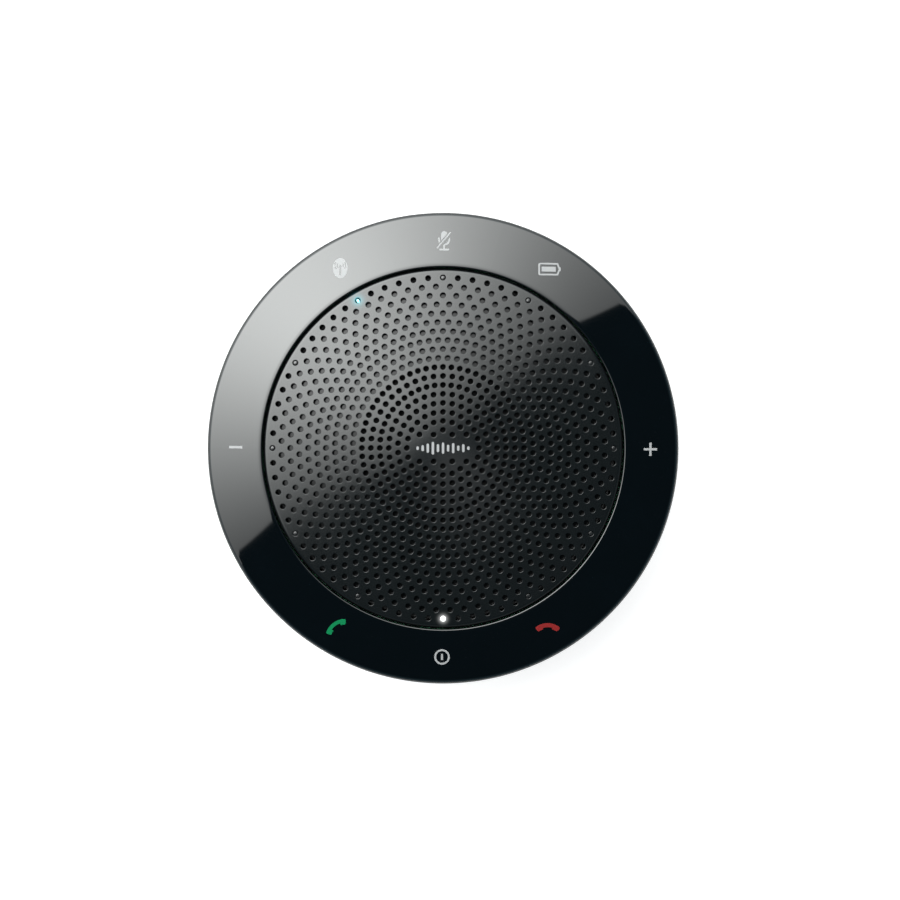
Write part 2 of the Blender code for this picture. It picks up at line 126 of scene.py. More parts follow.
def bezier(corners: Sequence[Point2], count: int) -> list[Point2]:
    """Return points along a cubic curve.

    Args:
        corners: Start, the two leading points, and end.
        count: Number of steps between the ends.

    Returns:
        The points, both ends included.
    """
    points = []
    for step in range(count + 1):
        t = step / count
        s = 1.0 - t
        shares = (s * s * s, 3 * s * s * t, 3 * s * t * t, t * t * t)
        points.append(tuple(sum(w * c[axis] for w, c in zip(shares, corners)) for axis in (0, 1)))
    return points


@dataclass(frozen=True)
class Dome:
    """The grille's top face: a cone with a rounded tip laid over a shallow bowl curve."""

    top: float = 33.0
    cone: float = 0.06
    tip: float = 8.0
    bowl: float = 0.00066

    def height(self, radius: float) -> float:
        """Return the height of the face at a radius."""
        return self.top - self.cone * (math.hypot(radius, self.tip) - self.tip) - self.bowl * radius**2

    def slope(self, radius: float) -> float:
        """Return how fast the face falls outwards at a radius."""
        return self.cone * radius / math.hypot(radius, self.tip) + 2 * self.bowl * radius

    def points(self, start: float, end: float, drop: float, count: int) -> list[Point2]:
        """Return points down the face between two radii, lowered by a drop.

        Args:
            start: First radius.
            end: Last radius.
            drop: How far the points lie under the face.
            count: Number of steps.

        Returns:
            The points as radius and height.
        """
        steps = [start + (end - start) * step / count for step in range(count + 1)]
        return [(radius, self.height(radius) - drop) for radius in steps]


@dataclass(frozen=True)
class RingCrown:
    """The control ring's top face, which falls away outwards from its crest beside the grille."""

    crest: float = 29.8
    crest_radius: float = 46.6
    crest_slope: float = math.tan(math.radians(6.5))
    curvature: float = 0.0064

    def height(self, radius: float) -> float:
        """Return the height of the face at a radius."""
        run = radius - self.crest_radius
        return self.crest - self.crest_slope * run - self.curvature * run * run / 2

    def slope(self, radius: float) -> float:
        """Return how fast the face falls outwards at a radius."""
        return self.crest_slope + self.curvature * (radius - self.crest_radius)


DOME = Dome()
CROWN = RingCrown()


# Shader node trees


class Tree:
    """A shader node tree while it is being written."""

    def __init__(self, tree: NodeTree) -> None:
        """Keep the tree that the nodes go in."""
        self.tree = tree

    def node(self, kind: str, **settings: object) -> Node:
        """Add a node.

        Args:
            kind: The node's type without the leading ShaderNode.
            **settings: Properties of the node.

        Returns:
            The new node.
        """
        made = self.tree.nodes.new("ShaderNode" + kind)
        for name, value in settings.items():
            setattr(made, name, value)
        return made

    def join(self, source: Value, target: NodeSocket) -> None:
        """Link a socket to the target, or set the target to a plain value."""
        if isinstance(source, NodeSocket):
            self.tree.links.new(source, target)
        else:
            target.default_value = source

    def math(self, operation: str, *values: Value, clamp: bool = False) -> NodeSocket:
        """Return the result of one sum on one to three values."""
        made = self.node("Math", operation=operation, use_clamp=clamp)
        for value, socket in zip(values, made.inputs):
            self.join(value, socket)
        return made.outputs[0]

    def spread(self, value: Value, lows: Point2, highs: Point2, smooth: bool = False) -> NodeSocket:
        """Map a value from one range to another and clamp it there.

        Args:
            value: What is mapped.
            lows: Where the range starts, before and after.
            highs: Where the range ends, before and after.
            smooth: Ease in and out instead of running straight.

        Returns:
            The mapped value.
        """
        made = self.node("MapRange", interpolation_type="SMOOTHSTEP" if smooth else "LINEAR")
        for source, name in zip(
            (value, lows[0], highs[0], lows[1], highs[1]),
            ("Value", "From Min", "From Max", "To Min", "To Max"),
        ):
            self.join(source, made.inputs[name])
        return made.outputs["Result"]

    def mix(self, share: Value, first: Value, second: Value) -> NodeSocket:
        """Return a colour between two others."""
        made = self.node("Mix", data_type="RGBA")
        for source, socket in zip((share, first, second), (made.inputs[0], made.inputs[6], made.inputs[7])):
            self.join(source, socket)
        return made.outputs[2]

    def noise(self, place: Value, per_metre: Value, detail: float = 2.0) -> NodeSocket:
        """Return soft random values from 0 to 1 with so many swells to the metre."""
        made = self.node("TexNoise")
        self.join(place, made.inputs["Vector"])
        self.join(per_metre, made.inputs["Scale"])
        made.inputs["Detail"].default_value = detail
        return made.outputs["Fac"]

    def cells(self, place: Value, per_metre: Value, feature: str = "F1") -> NodeSocket:
        """Return each point's distance to its cell's middle, with so many cells to the metre."""
        made = self.node("TexVoronoi", feature=feature)
        self.join(place, made.inputs["Vector"])
        self.join(per_metre, made.inputs["Scale"])
        return made.outputs["Distance"]

    def position(self) -> NodeSocket:
        """Return the point's place on the piece."""
        return self.node("TexCoord").outputs["Object"]

    def axes(self, place: Value) -> tuple[NodeSocket, NodeSocket, NodeSocket]:
        """Return the three parts of a vector."""
        made = self.node("SeparateXYZ")
        self.join(place, made.inputs[0])
        return made.outputs[0], made.outputs[1], made.outputs[2]

    def group(self, tree: NodeTree, **values: Value) -> Node:
        """Place a node group.

        Args:
            tree: The group.
            **values: What goes in each input, with _ for a blank in its name.

        Returns:
            The placed group node.
        """
        made = self.node("Group")
        made.node_tree = tree
        for name, value in values.items():
            self.join(value, made.inputs[name.replace("_", " ")])
        return made

    def relief(self, height: Value, depth: float, shader: Node, socket: str = "Normal") -> None:
        """Raise a shader's surface by a height from 0 to 1.

        Args:
            height: The relief.
            depth: How high 1 stands, in millimetres.
            shader: The shader whose normal it turns.
            socket: The name of the normal socket.
        """
        bump = self.node("Bump")
        bump.inputs["Distance"].default_value = depth * MM
        self.join(height, bump.inputs["Height"])
        self.join(bump.outputs["Normal"], shader.inputs[socket])


class Patterns:
    """The node groups that more than one finish uses. Each is written once."""

    @staticmethod
    def start(name: str, inputs: dict[str, float], outputs: Iterable[str]) -> tuple[Tree, Node, Node]:
        """Open a new group.

        Args:
            name: The group's name.
            inputs: Float inputs and their first values; every group also takes Place.
            outputs: Names of the float outputs.

        Returns:
            The tree, its input node and its output node.
        """
        group = bpy.data.node_groups.new(name, "ShaderNodeTree")
        group.interface.new_socket("Place", in_out="INPUT", socket_type="NodeSocketVector")
        for title, value in inputs.items():
            made = group.interface.new_socket(title, in_out="INPUT", socket_type="NodeSocketFloat")
            made.default_value = value
        for title in outputs:
            group.interface.new_socket(title, in_out="OUTPUT", socket_type="NodeSocketFloat")
        tree = Tree(group)
        return tree, group.nodes.new("NodeGroupInput"), group.nodes.new("NodeGroupOutput")

    @classmethod
    def spark_grain(cls) -> NodeTree:
        """Return the fine pitted grain of a spark-eroded mould, as Height and a slow Mottle."""
        found = bpy.data.node_groups.get("spark_grain")
        if found:
            return found
        tree, given, out = cls.start("spark_grain", {"Grains": 4000.0}, ("Height", "Mottle"))
        place, grains = given.outputs["Place"], given.outputs["Grains"]
        pits = tree.cells(place, grains, "SMOOTH_F1")
        swell = tree.noise(place, tree.math("MULTIPLY", grains, 0.6), 3.0)
        mixed = tree.math("ADD", tree.math("MULTIPLY", pits, 0.55), tree.math("MULTIPLY", swell, 0.6))
        tree.join(tree.spread(mixed, (0.25, 0.0), (0.95, 1.0)), out.inputs["Height"])
        tree.join(tree.noise(place, tree.math("MULTIPLY", grains, 0.02), 4.0), out.inputs["Mottle"])
        return tree.tree

    @classmethod
    def edge_wear(cls) -> NodeTree:
        """Return where handling has polished the corners, as Wear from 0 to 1."""
        found = bpy.data.node_groups.get("edge_wear")
        if found:
            return found
        tree, given, out = cls.start("edge_wear", {"Reach": 0.06, "Patches": 180.0}, ("Wear",))
        sharp = tree.node("NewGeometry").outputs["Pointiness"]
        above = tree.math("SUBTRACT", sharp, 0.5)
        corner = tree.math("DIVIDE", above, given.outputs["Reach"], clamp=True)
        patches = tree.spread(tree.noise(given.outputs["Place"], given.outputs["Patches"], 5.0), (0.35, 0.0), (0.7, 1.0))
        tree.join(tree.math("MULTIPLY", corner, patches), out.inputs["Wear"])
        return tree.tree

    @classmethod
    def settled_dust(cls) -> NodeTree:
        """Return where dust lies on faces that look up, as Dust from 0 to 1."""
        found = bpy.data.node_groups.get("settled_dust")
        if found:
            return found
        tree, given, out = cls.start("settled_dust", {"Specks": 1500.0, "Amount": 0.3}, ("Dust",))
        place = given.outputs["Place"]
        up = tree.axes(tree.node("NewGeometry").outputs["Normal"])[2]
        facing = tree.spread(up, (0.2, 0.0), (0.95, 1.0), smooth=True)
        specks = tree.spread(tree.cells(place, given.outputs["Specks"]), (0.05, 1.0), (0.16, 0.0))
        drift = tree.spread(tree.noise(place, 60.0, 4.0), (0.4, 0.0), (0.75, 1.0))
        lying = tree.math("MULTIPLY", tree.math("MULTIPLY", specks, drift), facing)
        tree.join(tree.math("MULTIPLY", lying, given.outputs["Amount"]), out.inputs["Dust"])
        return tree.tree

    @classmethod
    def touch_film(cls) -> NodeTree:
        """Return the thin uneven film that hands and cleaning leave, as Film from 0 to 1."""
        found = bpy.data.node_groups.get("touch_film")
        if found:
            return found
        tree, given, out = cls.start("touch_film", {"Smears": 70.0}, ("Film",))
        place, smears = given.outputs["Place"], given.outputs["Smears"]
        broad = tree.spread(tree.noise(place, smears, 3.0), (0.42, 0.0), (0.72, 1.0), smooth=True)
        fine = tree.spread(tree.noise(place, tree.math("MULTIPLY", smears, 9.0), 5.0), (0.3, 0.2), (0.8, 1.0))
        tree.join(tree.math("MULTIPLY", broad, fine), out.inputs["Film"])
        return tree.tree

    @classmethod
    def plain_weave(cls) -> NodeTree:
        """Return a one-over, one-under weave in the plane of X and Y, as Height and Warp."""
        found = bpy.data.node_groups.get("plain_weave")
        if found:
            return found
        tree, given, out = cls.start("plain_weave", {"Threads": 3000.0}, ("Height", "Warp"))
        along, across, _ = tree.axes(given.outputs["Place"])
        waves = []
        for axis in (along, across):
            turn = tree.math("MULTIPLY", tree.math("MULTIPLY", axis, given.outputs["Threads"]), math.pi)
            waves.append((tree.math("ABSOLUTE", tree.math("SINE", turn)), tree.math("COSINE", turn)))
        over = tree.math("MULTIPLY", waves[0][1], waves[1][1])
        warp = tree.spread(over, (-0.4, 0.0), (0.4, 1.0), smooth=True)
        warp_height = tree.math("MULTIPLY", waves[0][0], warp)
        weft_height = tree.math("MULTIPLY", waves[1][0], tree.math("SUBTRACT", 1.0, warp))
        tree.join(tree.math("ADD", warp_height, weft_height), out.inputs["Height"])
        tree.join(warp, out.inputs["Warp"])
        return tree.tree

    @classmethod
    def fine_lines(cls) -> NodeTree:
        """Return close grooves along one measure, as Height from 0 to 1. The measure goes in Along."""
        found = bpy.data.node_groups.get("fine_lines")
        if found:
            return found
        tree, given, out = cls.start("fine_lines", {"Along": 0.0, "Lines": 3000.0}, ("Height",))
        turns = tree.math("MULTIPLY", given.outputs["Along"], given.outputs["Lines"])
        wave = tree.math("SINE", tree.math("MULTIPLY", turns, 2 * math.pi))
        rough = tree.noise(given.outputs["Place"], 900.0, 4.0)
        raised = tree.math("ADD", tree.math("MULTIPLY", wave, 0.35), tree.math("MULTIPLY", rough, 0.6))
        tree.join(tree.math("ADD", raised, 0.2, clamp=True), out.inputs["Height"])
        return tree.tree


# Finishes


@dataclass(frozen=True)
class Finish:
    """A surface finish on a Principled shader. Each kind of finish writes its own nodes.

    Attributes:
        name: The finish's name.
        colour: Base colour as linear RGB.
        roughness: Roughness before the pattern changes it.
        metallic: 1 for bare metal.
        ior: Index of refraction of the surface.
        coat: Weight of a clear coat.
    """

    name: str
    colour: Colour
    roughness: float
    metallic: float = 0.0
    ior: float = 1.5
    coat: float = 0.0

    def material(self) -> Material:
        """Return the finish as a material, written on first use. The frame's own has the plain name."""
        title = f"{self.name}_finish"
        found = bpy.data.materials.get(title)
        if found:
            return found
        made = bpy.data.materials.new(title)
        made.use_nodes = True
        made.diffuse_color = (*self.colour, 1.0)
        shader = made.node_tree.nodes["Principled BSDF"]
        shader.inputs["Base Color"].default_value = (*self.colour, 1.0)
        shader.inputs["Roughness"].default_value = self.roughness
        shader.inputs["Metallic"].default_value = self.metallic
        shader.inputs["IOR"].default_value = self.ior
        shader.inputs["Coat Weight"].default_value = self.coat
        tree = Tree(made.node_tree)
        self.dress(tree, shader, tree.position())
        return made

    def dress(self, tree: Tree, shader: Node, place: NodeSocket) -> None:
        """Write the finish's own nodes.

        Args:
            tree: The material's tree.
            shader: Its Principled shader.
            place: The point's place on the piece.
        """
        raise NotImplementedError(self.name)

    def tint(self, share: float) -> tuple[float, float, float, float]:
        """Return the colour made lighter or darker by a share."""
        return (*(part * share for part in self.colour), 1.0)


@dataclass(frozen=True)
class Moulded(Finish):
    """Moulded plastic or rubber with a mould grain, worn corners and a little dust.

    Attributes:
        grains: Grains to the metre.
        depth: Depth of the grain.
        wear: How much corners are polished.
        dust: How much dust lies on it.
        dust_colour: The dust's colour.
    """

    grains: float = 4000.0
    depth: float = 0.012
    wear: float = 0.5
    dust: float = 0.15
    dust_colour: Colour = (0.16, 0.155, 0.15)

    def dress(self, tree: Tree, shader: Node, place: NodeSocket) -> None:
        """Lay grain, mottle, worn corners and dust on the plastic."""
        grain = tree.group(Patterns.spark_grain(), Place=place, Grains=self.grains)
        wear = tree.group(Patterns.edge_wear(), Place=place).outputs["Wear"]
        dust = tree.group(Patterns.settled_dust(), Place=place, Amount=self.dust).outputs["Dust"]
        mottle = grain.outputs["Mottle"]
        worn = tree.math("MULTIPLY", wear, self.wear)
        body = tree.mix(mottle, self.tint(0.88), self.tint(1.14))
        rubbed = tree.mix(worn, body, self.tint(1.7))
        tree.join(tree.mix(dust, rubbed, (*self.dust_colour, 1.0)), shader.inputs["Base Color"])
        base = tree.spread(mottle, (0.3, self.roughness * 0.93), (0.7, self.roughness * 1.07))
        polished = tree.math("SUBTRACT", base, tree.math("MULTIPLY", worn, self.roughness * 0.35))
        tree.join(tree.math("ADD", polished, tree.math("MULTIPLY", dust, 0.4), clamp=True), shader.inputs["Roughness"])
        tree.relief(grain.outputs["Height"], self.depth, shader)


@dataclass(frozen=True)
class PaintedHalo:
    """Painted glow of a lit pin: emission laid on the plate round the pin, in place of the pin's light falling on it.

    Attributes:
        middle: Place of the pin's top.
        glow: Colour of the painted glow beside the pin.
        reach: How far it carries.
    """

    middle: Vector
    glow: Colour
    reach: float


@dataclass(frozen=True)
class PaintedGlowMoulded(Moulded):
    """Moulded plastic with a painted glow round lit pins: emission laid on it that fades away from each pin.

    Attributes:
        painted_halos: The painted glow round every lit pin.
    """

    painted_halos: tuple[PaintedHalo, ...] = ()

    def dress(self, tree: Tree, shader: Node, place: NodeSocket) -> None:
        """Lay the painted glow of each lit pin over the plastic as emission."""
        super().dress(tree, shader, place)
        # Painted glow: emission on the plate that fades with distance from each lit pin.
        light: Value = (0.0, 0.0, 0.0, 1.0)
        for painted_halo in self.painted_halos:
            apart = tree.node("VectorMath", operation="DISTANCE")
            tree.join(place, apart.inputs[0])
            apart.inputs[1].default_value = painted_halo.middle * MM
            share = tree.math("DIVIDE", apart.outputs["Value"], painted_halo.reach * MM)
            fade = tree.math("EXPONENT", tree.math("MULTIPLY", tree.math("MULTIPLY", share, share), -1.0))
            light = tree.mix(fade, light, (*painted_halo.glow, 1.0))
        tree.join(light, shader.inputs["Emission Color"])
        shader.inputs["Emission Strength"].default_value = 1.0


@dataclass(frozen=True)
class Gloss(Finish):
    """High gloss moulding with a faint film from fingers and a few dust specks.

    Attributes:
        film: How much the film dulls the gloss.
        dust: How much dust lies on it.
        ripple: Depth of the moulding's slow ripple.
    """

    film: float = 0.02
    dust: float = 0.02
    ripple: float = 0.0004

    def dress(self, tree: Tree, shader: Node, place: NodeSocket) -> None:
        """Lay film, specks and the slow ripple of the moulding on the gloss."""
        film = tree.group(Patterns.touch_film(), Place=place).outputs["Film"]
        dust = tree.group(Patterns.settled_dust(), Place=place, Specks=900.0, Amount=self.dust).outputs["Dust"]
        smeared = tree.mix(film, self.tint(1.0), self.tint(1.5))
        tree.join(tree.mix(dust, smeared, (0.2, 0.2, 0.2, 1.0)), shader.inputs["Base Color"])
        dulled = tree.math("MULTIPLY_ADD", film, self.film, self.roughness)
        tree.join(tree.math("ADD", dulled, dust, clamp=True), shader.inputs["Roughness"])
        tree.relief(tree.noise(place, 160.0, 1.0), self.ripple, shader)


@dataclass(frozen=True)
class Woven(Finish):
    """Thin woven cloth.

    Attributes:
        threads: Threads to the metre.
        depth: Depth of the weave.
    """

    threads: float = 3600.0
    depth: float = 0.08

    def dress(self, tree: Tree, shader: Node, place: NodeSocket) -> None:
        """Lay the weave, lighter where the warp lies on top, painted shade in the low gaps between threads, and the
        threads' uneven dye on the cloth.
        """
        weave = tree.group(Patterns.plain_weave(), Place=place, Threads=self.threads)
        slub = tree.noise(place, self.threads * 0.15, 5.0)
        thread = tree.mix(weave.outputs["Warp"], self.tint(0.8), self.tint(1.25))
        # Painted shade: the low gaps between threads are darkened almost to black.
        gap = tree.mix(weave.outputs["Height"], self.tint(0.15), thread)
        tree.join(tree.mix(tree.math("MULTIPLY", slub, 0.4), gap, self.tint(0.55)), shader.inputs["Base Color"])
        shader.inputs["Sheen Weight"].default_value = 0.15
        tree.relief(tree.math("MULTIPLY_ADD", slub, 0.3, weave.outputs["Height"]), self.depth, shader)


@dataclass(frozen=True)
class Metal(Finish):
    """Plated or blackened metal with fine working lines.

    Attributes:
        lines: Working lines to the metre.
        depth: Depth of the lines.
        stain: How much the plating has dulled in places.
    """

    metallic: float = 1.0
    lines: float = 2600.0
    depth: float = 0.004
    stain: float = 0.3

    def dress(self, tree: Tree, shader: Node, place: NodeSocket) -> None:
        """Lay lines round the middle axis, stains and worn corners on the metal."""
        across, along, _ = tree.axes(place)
        squares = [tree.math("MULTIPLY", part, part) for part in (across, along)]
        radius = tree.math("SQRT", tree.math("ADD", *squares))
        lines = tree.group(Patterns.fine_lines(), Place=place, Along=radius, Lines=self.lines)
        wear = tree.group(Patterns.edge_wear(), Place=place).outputs["Wear"]
        stain = tree.spread(tree.noise(place, 240.0, 5.0), (0.45, 0.0), (0.75, self.stain))
        dulled = tree.mix(stain, self.tint(1.0), self.tint(0.45))
        tree.join(tree.mix(wear, dulled, self.tint(1.35)), shader.inputs["Base Color"])
        rough = tree.math("MULTIPLY_ADD", stain, 0.4, self.roughness)
        tree.join(tree.math("MULTIPLY_ADD", lines.outputs["Height"], 0.08, rough), shader.inputs["Roughness"])
        tree.relief(lines.outputs["Height"], self.depth, shader)


@dataclass(frozen=True)
class Winding(Finish):
    """A coil of enamelled wire whose turns lie one above the other.

    Attributes:
        turns: Turns to the metre of height.
    """

    metallic: float = 1.0
    turns: float = 5000.0

    def dress(self, tree: Tree, shader: Node, place: NodeSocket) -> None:
        """Lay the turns on the coil, with painted shade in the grooves between them and a slight painted highlight on
        their crowns.
        """
        height = tree.axes(place)[2]
        lines = tree.group(Patterns.fine_lines(), Place=place, Along=height, Lines=self.turns)
        turn = lines.outputs["Height"]
        # Painted shade and highlight: the colour follows the turns' relief, dark in the grooves and light on the
        # crowns.
        tree.join(tree.mix(turn, self.tint(0.35), self.tint(1.1)), shader.inputs["Base Color"])
        tree.relief(turn, 0.05, shader)


@dataclass(frozen=True)
class Board(Finish):
    """A circuit board under solder mask, with copper tracks and plated pads.

    Attributes:
        track: Colour of the mask where copper lies under it.
        pad: Colour of a bare plated pad.
        pitch: Tracks to the metre.
    """

    track: Colour = (0.02, 0.16, 0.075)
    pad: Colour = (0.75, 0.6, 0.3)
    pitch: float = 900.0

    def dress(self, tree: Tree, shader: Node, place: NodeSocket) -> None:
        """Lay tracks in bands, pads and the mask's slow colour change on the board."""
        bands = tree.node("TexBrick", offset=0.5, squash=1.0)
        tree.join(place, bands.inputs["Vector"])
        tree.join(self.pitch, bands.inputs["Scale"])
        for name, value in (("Mortar Size", 0.14), ("Mortar Smooth", 0.05), ("Brick Width", 9.0)):
            bands.inputs[name].default_value = value
        for name in ("Color1", "Color2"):
            bands.inputs[name].default_value = self.tint(1.0)
        bands.inputs["Mortar"].default_value = (*self.track, 1.0)
        area = tree.spread(tree.noise(place, 90.0, 0.0), (0.48, 0.0), (0.5, 1.0))
        laid = tree.mix(area, self.tint(1.0), bands.outputs["Color"])
        pads = tree.spread(tree.cells(place, self.pitch * 0.35), (0.1, 1.0), (0.12, 0.0))
        sparse = tree.spread(tree.noise(place, 140.0, 1.0), (0.56, 0.0), (0.58, 1.0))
        bare = tree.math("MULTIPLY", pads, sparse)
        tree.join(tree.mix(bare, laid, (*self.pad, 1.0)), shader.inputs["Base Color"])
        tree.join(bare, shader.inputs["Metallic"])
        tree.relief(tree.math("ADD", bands.outputs["Fac"], bare), 0.02, shader)


@dataclass(frozen=True)
class Fibrous(Finish):
    """Pressed paper, foam or another surface of fibres or small bubbles.

    Attributes:
        fibres: Fibres or bubbles to the metre.
        depth: Depth of the relief.
    """

    fibres: float = 2500.0
    depth: float = 0.06

    def dress(self, tree: Tree, shader: Node, place: NodeSocket) -> None:
        """Lay fibres on the surface, with painted shade: the colour follows the relief, darker in its hollows and
        lighter where it stands up.
        """
        fine = tree.noise(place, self.fibres, 6.0)
        bubbles = tree.cells(place, self.fibres * 0.7)
        raised = tree.math("ADD", tree.math("MULTIPLY", fine, 0.6), tree.math("MULTIPLY", bubbles, 0.5))
        # Painted shade and highlight: colour taken from the same relief as the bump.
        tree.join(tree.mix(raised, self.tint(0.6), self.tint(1.35)), shader.inputs["Base Color"])
        tree.relief(raised, self.depth, shader)


@dataclass(frozen=True)
class Wrap(Finish):
    """Shrink wrap drawn over a cell, with long creases."""

    def dress(self, tree: Tree, shader: Node, place: NodeSocket) -> None:
        """Lay creases and slight clouding on the wrap, with painted shade in the creases' hollows and a painted
        highlight on their ridges.
        """
        stretch = tree.node("Mapping")
        tree.join(place, stretch.inputs["Vector"])
        stretch.inputs["Scale"].default_value = (1.0, 5.0, 1.0)
        crease = tree.noise(stretch.outputs["Vector"], 120.0, 5.0)
        film = tree.group(Patterns.touch_film(), Place=place).outputs["Film"]
        # Painted shade and highlight: colour taken from the same creases as the relief.
        tree.join(tree.mix(crease, self.tint(0.8), self.tint(1.2)), shader.inputs["Base Color"])
        tree.join(tree.math("MULTIPLY_ADD", film, 0.25, self.roughness), shader.inputs["Roughness"])
        tree.relief(crease, 0.15, shader)


@dataclass(frozen=True)
class Printed(Finish):
    """Ink laid on a face, very slightly uneven.

    Attributes:
        grains: Ink dots to the metre.
    """

    grains: float = 5000.0

    def dress(self, tree: Tree, shader: Node, place: NodeSocket) -> None:
        """Lay the ink's fine unevenness on the print."""
        ink = tree.group(Patterns.spark_grain(), Place=place, Grains=self.grains)
        tree.join(tree.mix(ink.outputs["Mottle"], self.tint(0.95), self.tint(1.04)), shader.inputs["Base Color"])
        tree.relief(ink.outputs["Height"], 0.002, shader)


@dataclass(frozen=True)
class LightPipe(Finish):
    """Milky clear moulding that carries a lamp's light, lit or dark.

    Attributes:
        glow: Colour of the light that leaves it.
        strength: How bright it is, 0 for dark.
        clear: How clear the moulding is.
    """

    glow: Colour = (1.0, 1.0, 1.0)
    strength: float = 0.0
    clear: float = 0.35

    def dress(self, tree: Tree, shader: Node, place: NodeSocket) -> None:
        """Lay milky flow marks on the moulding, and its light if it is lit."""
        flow = tree.noise(place, 700.0, 3.0)
        tree.join(tree.mix(flow, self.tint(0.85), self.tint(1.1)), shader.inputs["Base Color"])
        shader.inputs["Transmission Weight"].default_value = self.clear
        if self.strength:
            lit = tree.mix(flow, (*(part * 0.9 for part in self.glow), 1.0), (*self.glow, 1.0))
            tree.join(lit, shader.inputs["Emission Color"])
            shader.inputs["Emission Strength"].default_value = self.strength


RING_GLOSS = Gloss("ring_gloss", (0.0004, 0.001, 0.0016), 0.035, ior=1.5, coat=1.0)
LAMP_CIRCLE = 43.26
LAMP_COUNT = 12
LINKED_LAMP = 120
POWERED_LAMP = 270
GRILLE_SATIN = PaintedGlowMoulded(
    "grille_satin",
    (0.004, 0.005, 0.0054),
    0.15,
    ior=1.65,
    grains=5200.0,
    depth=0.0016,
    wear=0.2,
    dust=0.008,
    # Painted glow round the two lit pins, laid on the plate as emission.
    painted_halos=(
        PaintedHalo(polar(LAMP_CIRCLE, LINKED_LAMP, DOME.height(LAMP_CIRCLE)), (0.02, 0.3, 0.36), 1.3),
        PaintedHalo(polar(LAMP_CIRCLE, POWERED_LAMP, DOME.height(LAMP_CIRCLE)), (0.7, 0.7, 0.7), 0.9),
    ),
)
GRILLE_BACKING = Moulded("grille_backing", (0.0008, 0.0009, 0.001), 0.18, ior=1.4, grains=3000.0, depth=0.002, dust=0.0)
HOUSING_BLACK = Moulded("housing_black", (0.014, 0.0142, 0.0148), 0.46, grains=2600.0, depth=0.02, dust=0.1)
MOULDED_BLACK = Moulded("moulded_black", (0.011, 0.011, 0.0115), 0.5, grains=3000.0, depth=0.015)
RUBBER_BLACK = Moulded("rubber_black", (0.014, 0.014, 0.014), 0.72, grains=1800.0, depth=0.012, wear=0.2, dust=0.3)
FOOT_RUBBER = Moulded("foot_rubber", (0.022, 0.022, 0.023), 0.78, grains=1500.0, depth=0.02, wear=0.3, dust=0.4)
CHIP_BLACK = Moulded("chip_black", (0.012, 0.012, 0.0125), 0.55, grains=6000.0, depth=0.006, wear=0.3)
FERRITE = Moulded("ferrite", (0.03, 0.03, 0.034), 0.6, grains=2200.0, depth=0.03, wear=0.8)
ACOUSTIC_CLOTH = Woven("acoustic_cloth", (0.006, 0.006, 0.0065), 0.9)
CIRCUIT_BOARD = Board("circuit_board", (0.008, 0.075, 0.036), 0.35)
PLATED_STEEL = Metal("plated_steel", (0.52, 0.52, 0.53), 0.3)
SCREW_STEEL = Metal("screw_steel", (0.12, 0.12, 0.125), 0.34, stain=0.5)
COPPER_WIRE = Winding("copper_wire", (0.62, 0.27, 0.13), 0.35)
CONE_PAPER = Fibrous("cone_paper", (0.02, 0.02, 0.021), 0.8)
FOAM_GREY = Fibrous("foam_grey", (0.07, 0.07, 0.073), 0.95, fibres=3500.0, depth=0.15)
CELL_WRAP = Wrap("cell_wrap", (0.2, 0.22, 0.26), 0.32)
LIGHT_PIPE = LightPipe("light_pipe", (0.011, 0.0115, 0.012), 0.25, ior=1.7, clear=0.1)
PIPE_LINKED = LightPipe("light_pipe_linked", (0.3, 0.6, 0.7), 0.35, glow=(0.42, 1.0, 1.0), strength=1.6)
PIPE_POWERED = LightPipe("light_pipe_powered", (0.8, 0.8, 0.8), 0.35, glow=(1.0, 0.98, 0.95), strength=3.0)
PRINT_WHITE = Printed("print_white", (0.29, 0.29, 0.293), 0.4, ior=1.65)
PRINT_GREEN = Printed("print_green", (0.001, 0.15, 0.052), 0.5, ior=1.2)
PRINT_RED = Printed("print_red", (0.19, 0.013, 0.013), 0.5, ior=1.25)
PRINT_SILVER = Printed("print_silver", (0.3, 0.3, 0.305), 0.4)

SLOT_FINISHES: dict[str, Finish] = {
    "ring_gloss": RING_GLOSS,
    "grille_satin": GRILLE_SATIN,
    "acoustic_cloth": ACOUSTIC_CLOTH,
    "light_pipe": LIGHT_PIPE,
    "moulded_black": MOULDED_BLACK,
    "housing_black": HOUSING_BLACK,
    "circuit_board": CIRCUIT_BOARD,
    "rubber_black": RUBBER_BLACK,
    "foot_rubber": FOOT_RUBBER,
    "plated_steel": PLATED_STEEL,
    "screw_steel": SCREW_STEEL,
    "ferrite": FERRITE,
    "copper_wire": COPPER_WIRE,
    "cone_paper": CONE_PAPER,
    "cell_wrap": CELL_WRAP,
    "foam_grey": FOAM_GREY,
    "chip_black": CHIP_BLACK,
}


# Mesh tools. Shapes are drawn in millimetres and made metres when they become a piece.


def turned(profile: Sequence[Point2], sides: int, closed: bool = False, from_angle: float = 90.0) -> BMesh:
    """Turn a profile of radius and height once round Z.

    Args:
        profile: Points that run down the outer side.
        sides: Number of steps in the turn.
        closed: Join the last point to the first.
        from_angle: Angle at which the profile starts.

    Returns:
        The turned shape, with its poles and seam merged.
    """
    shape = bmesh.new()
    corners = [shape.verts.new(polar(radius, from_angle, height)) for radius, height in profile]
    followers = corners[1:] + ([corners[0]] if closed else [])
    edges = [shape.edges.new(pair) for pair in zip(corners, followers)]
    bmesh.ops.spin(
        shape,
        geom=corners + edges,
        cent=(0, 0, 0),
        axis=(0, 0, 1),
        dvec=(0, 0, 0),
        angle=math.tau,
        steps=sides,
        use_merge=True,
        use_duplicate=False,
    )
    tidy(shape)
    return shape


def tidy(shape: BMesh) -> None:
    """Merge doubled points and turn every face outwards."""
    bmesh.ops.remove_doubles(shape, verts=shape.verts[:], dist=TINY)
    bmesh.ops.recalc_face_normals(shape, faces=shape.faces[:])


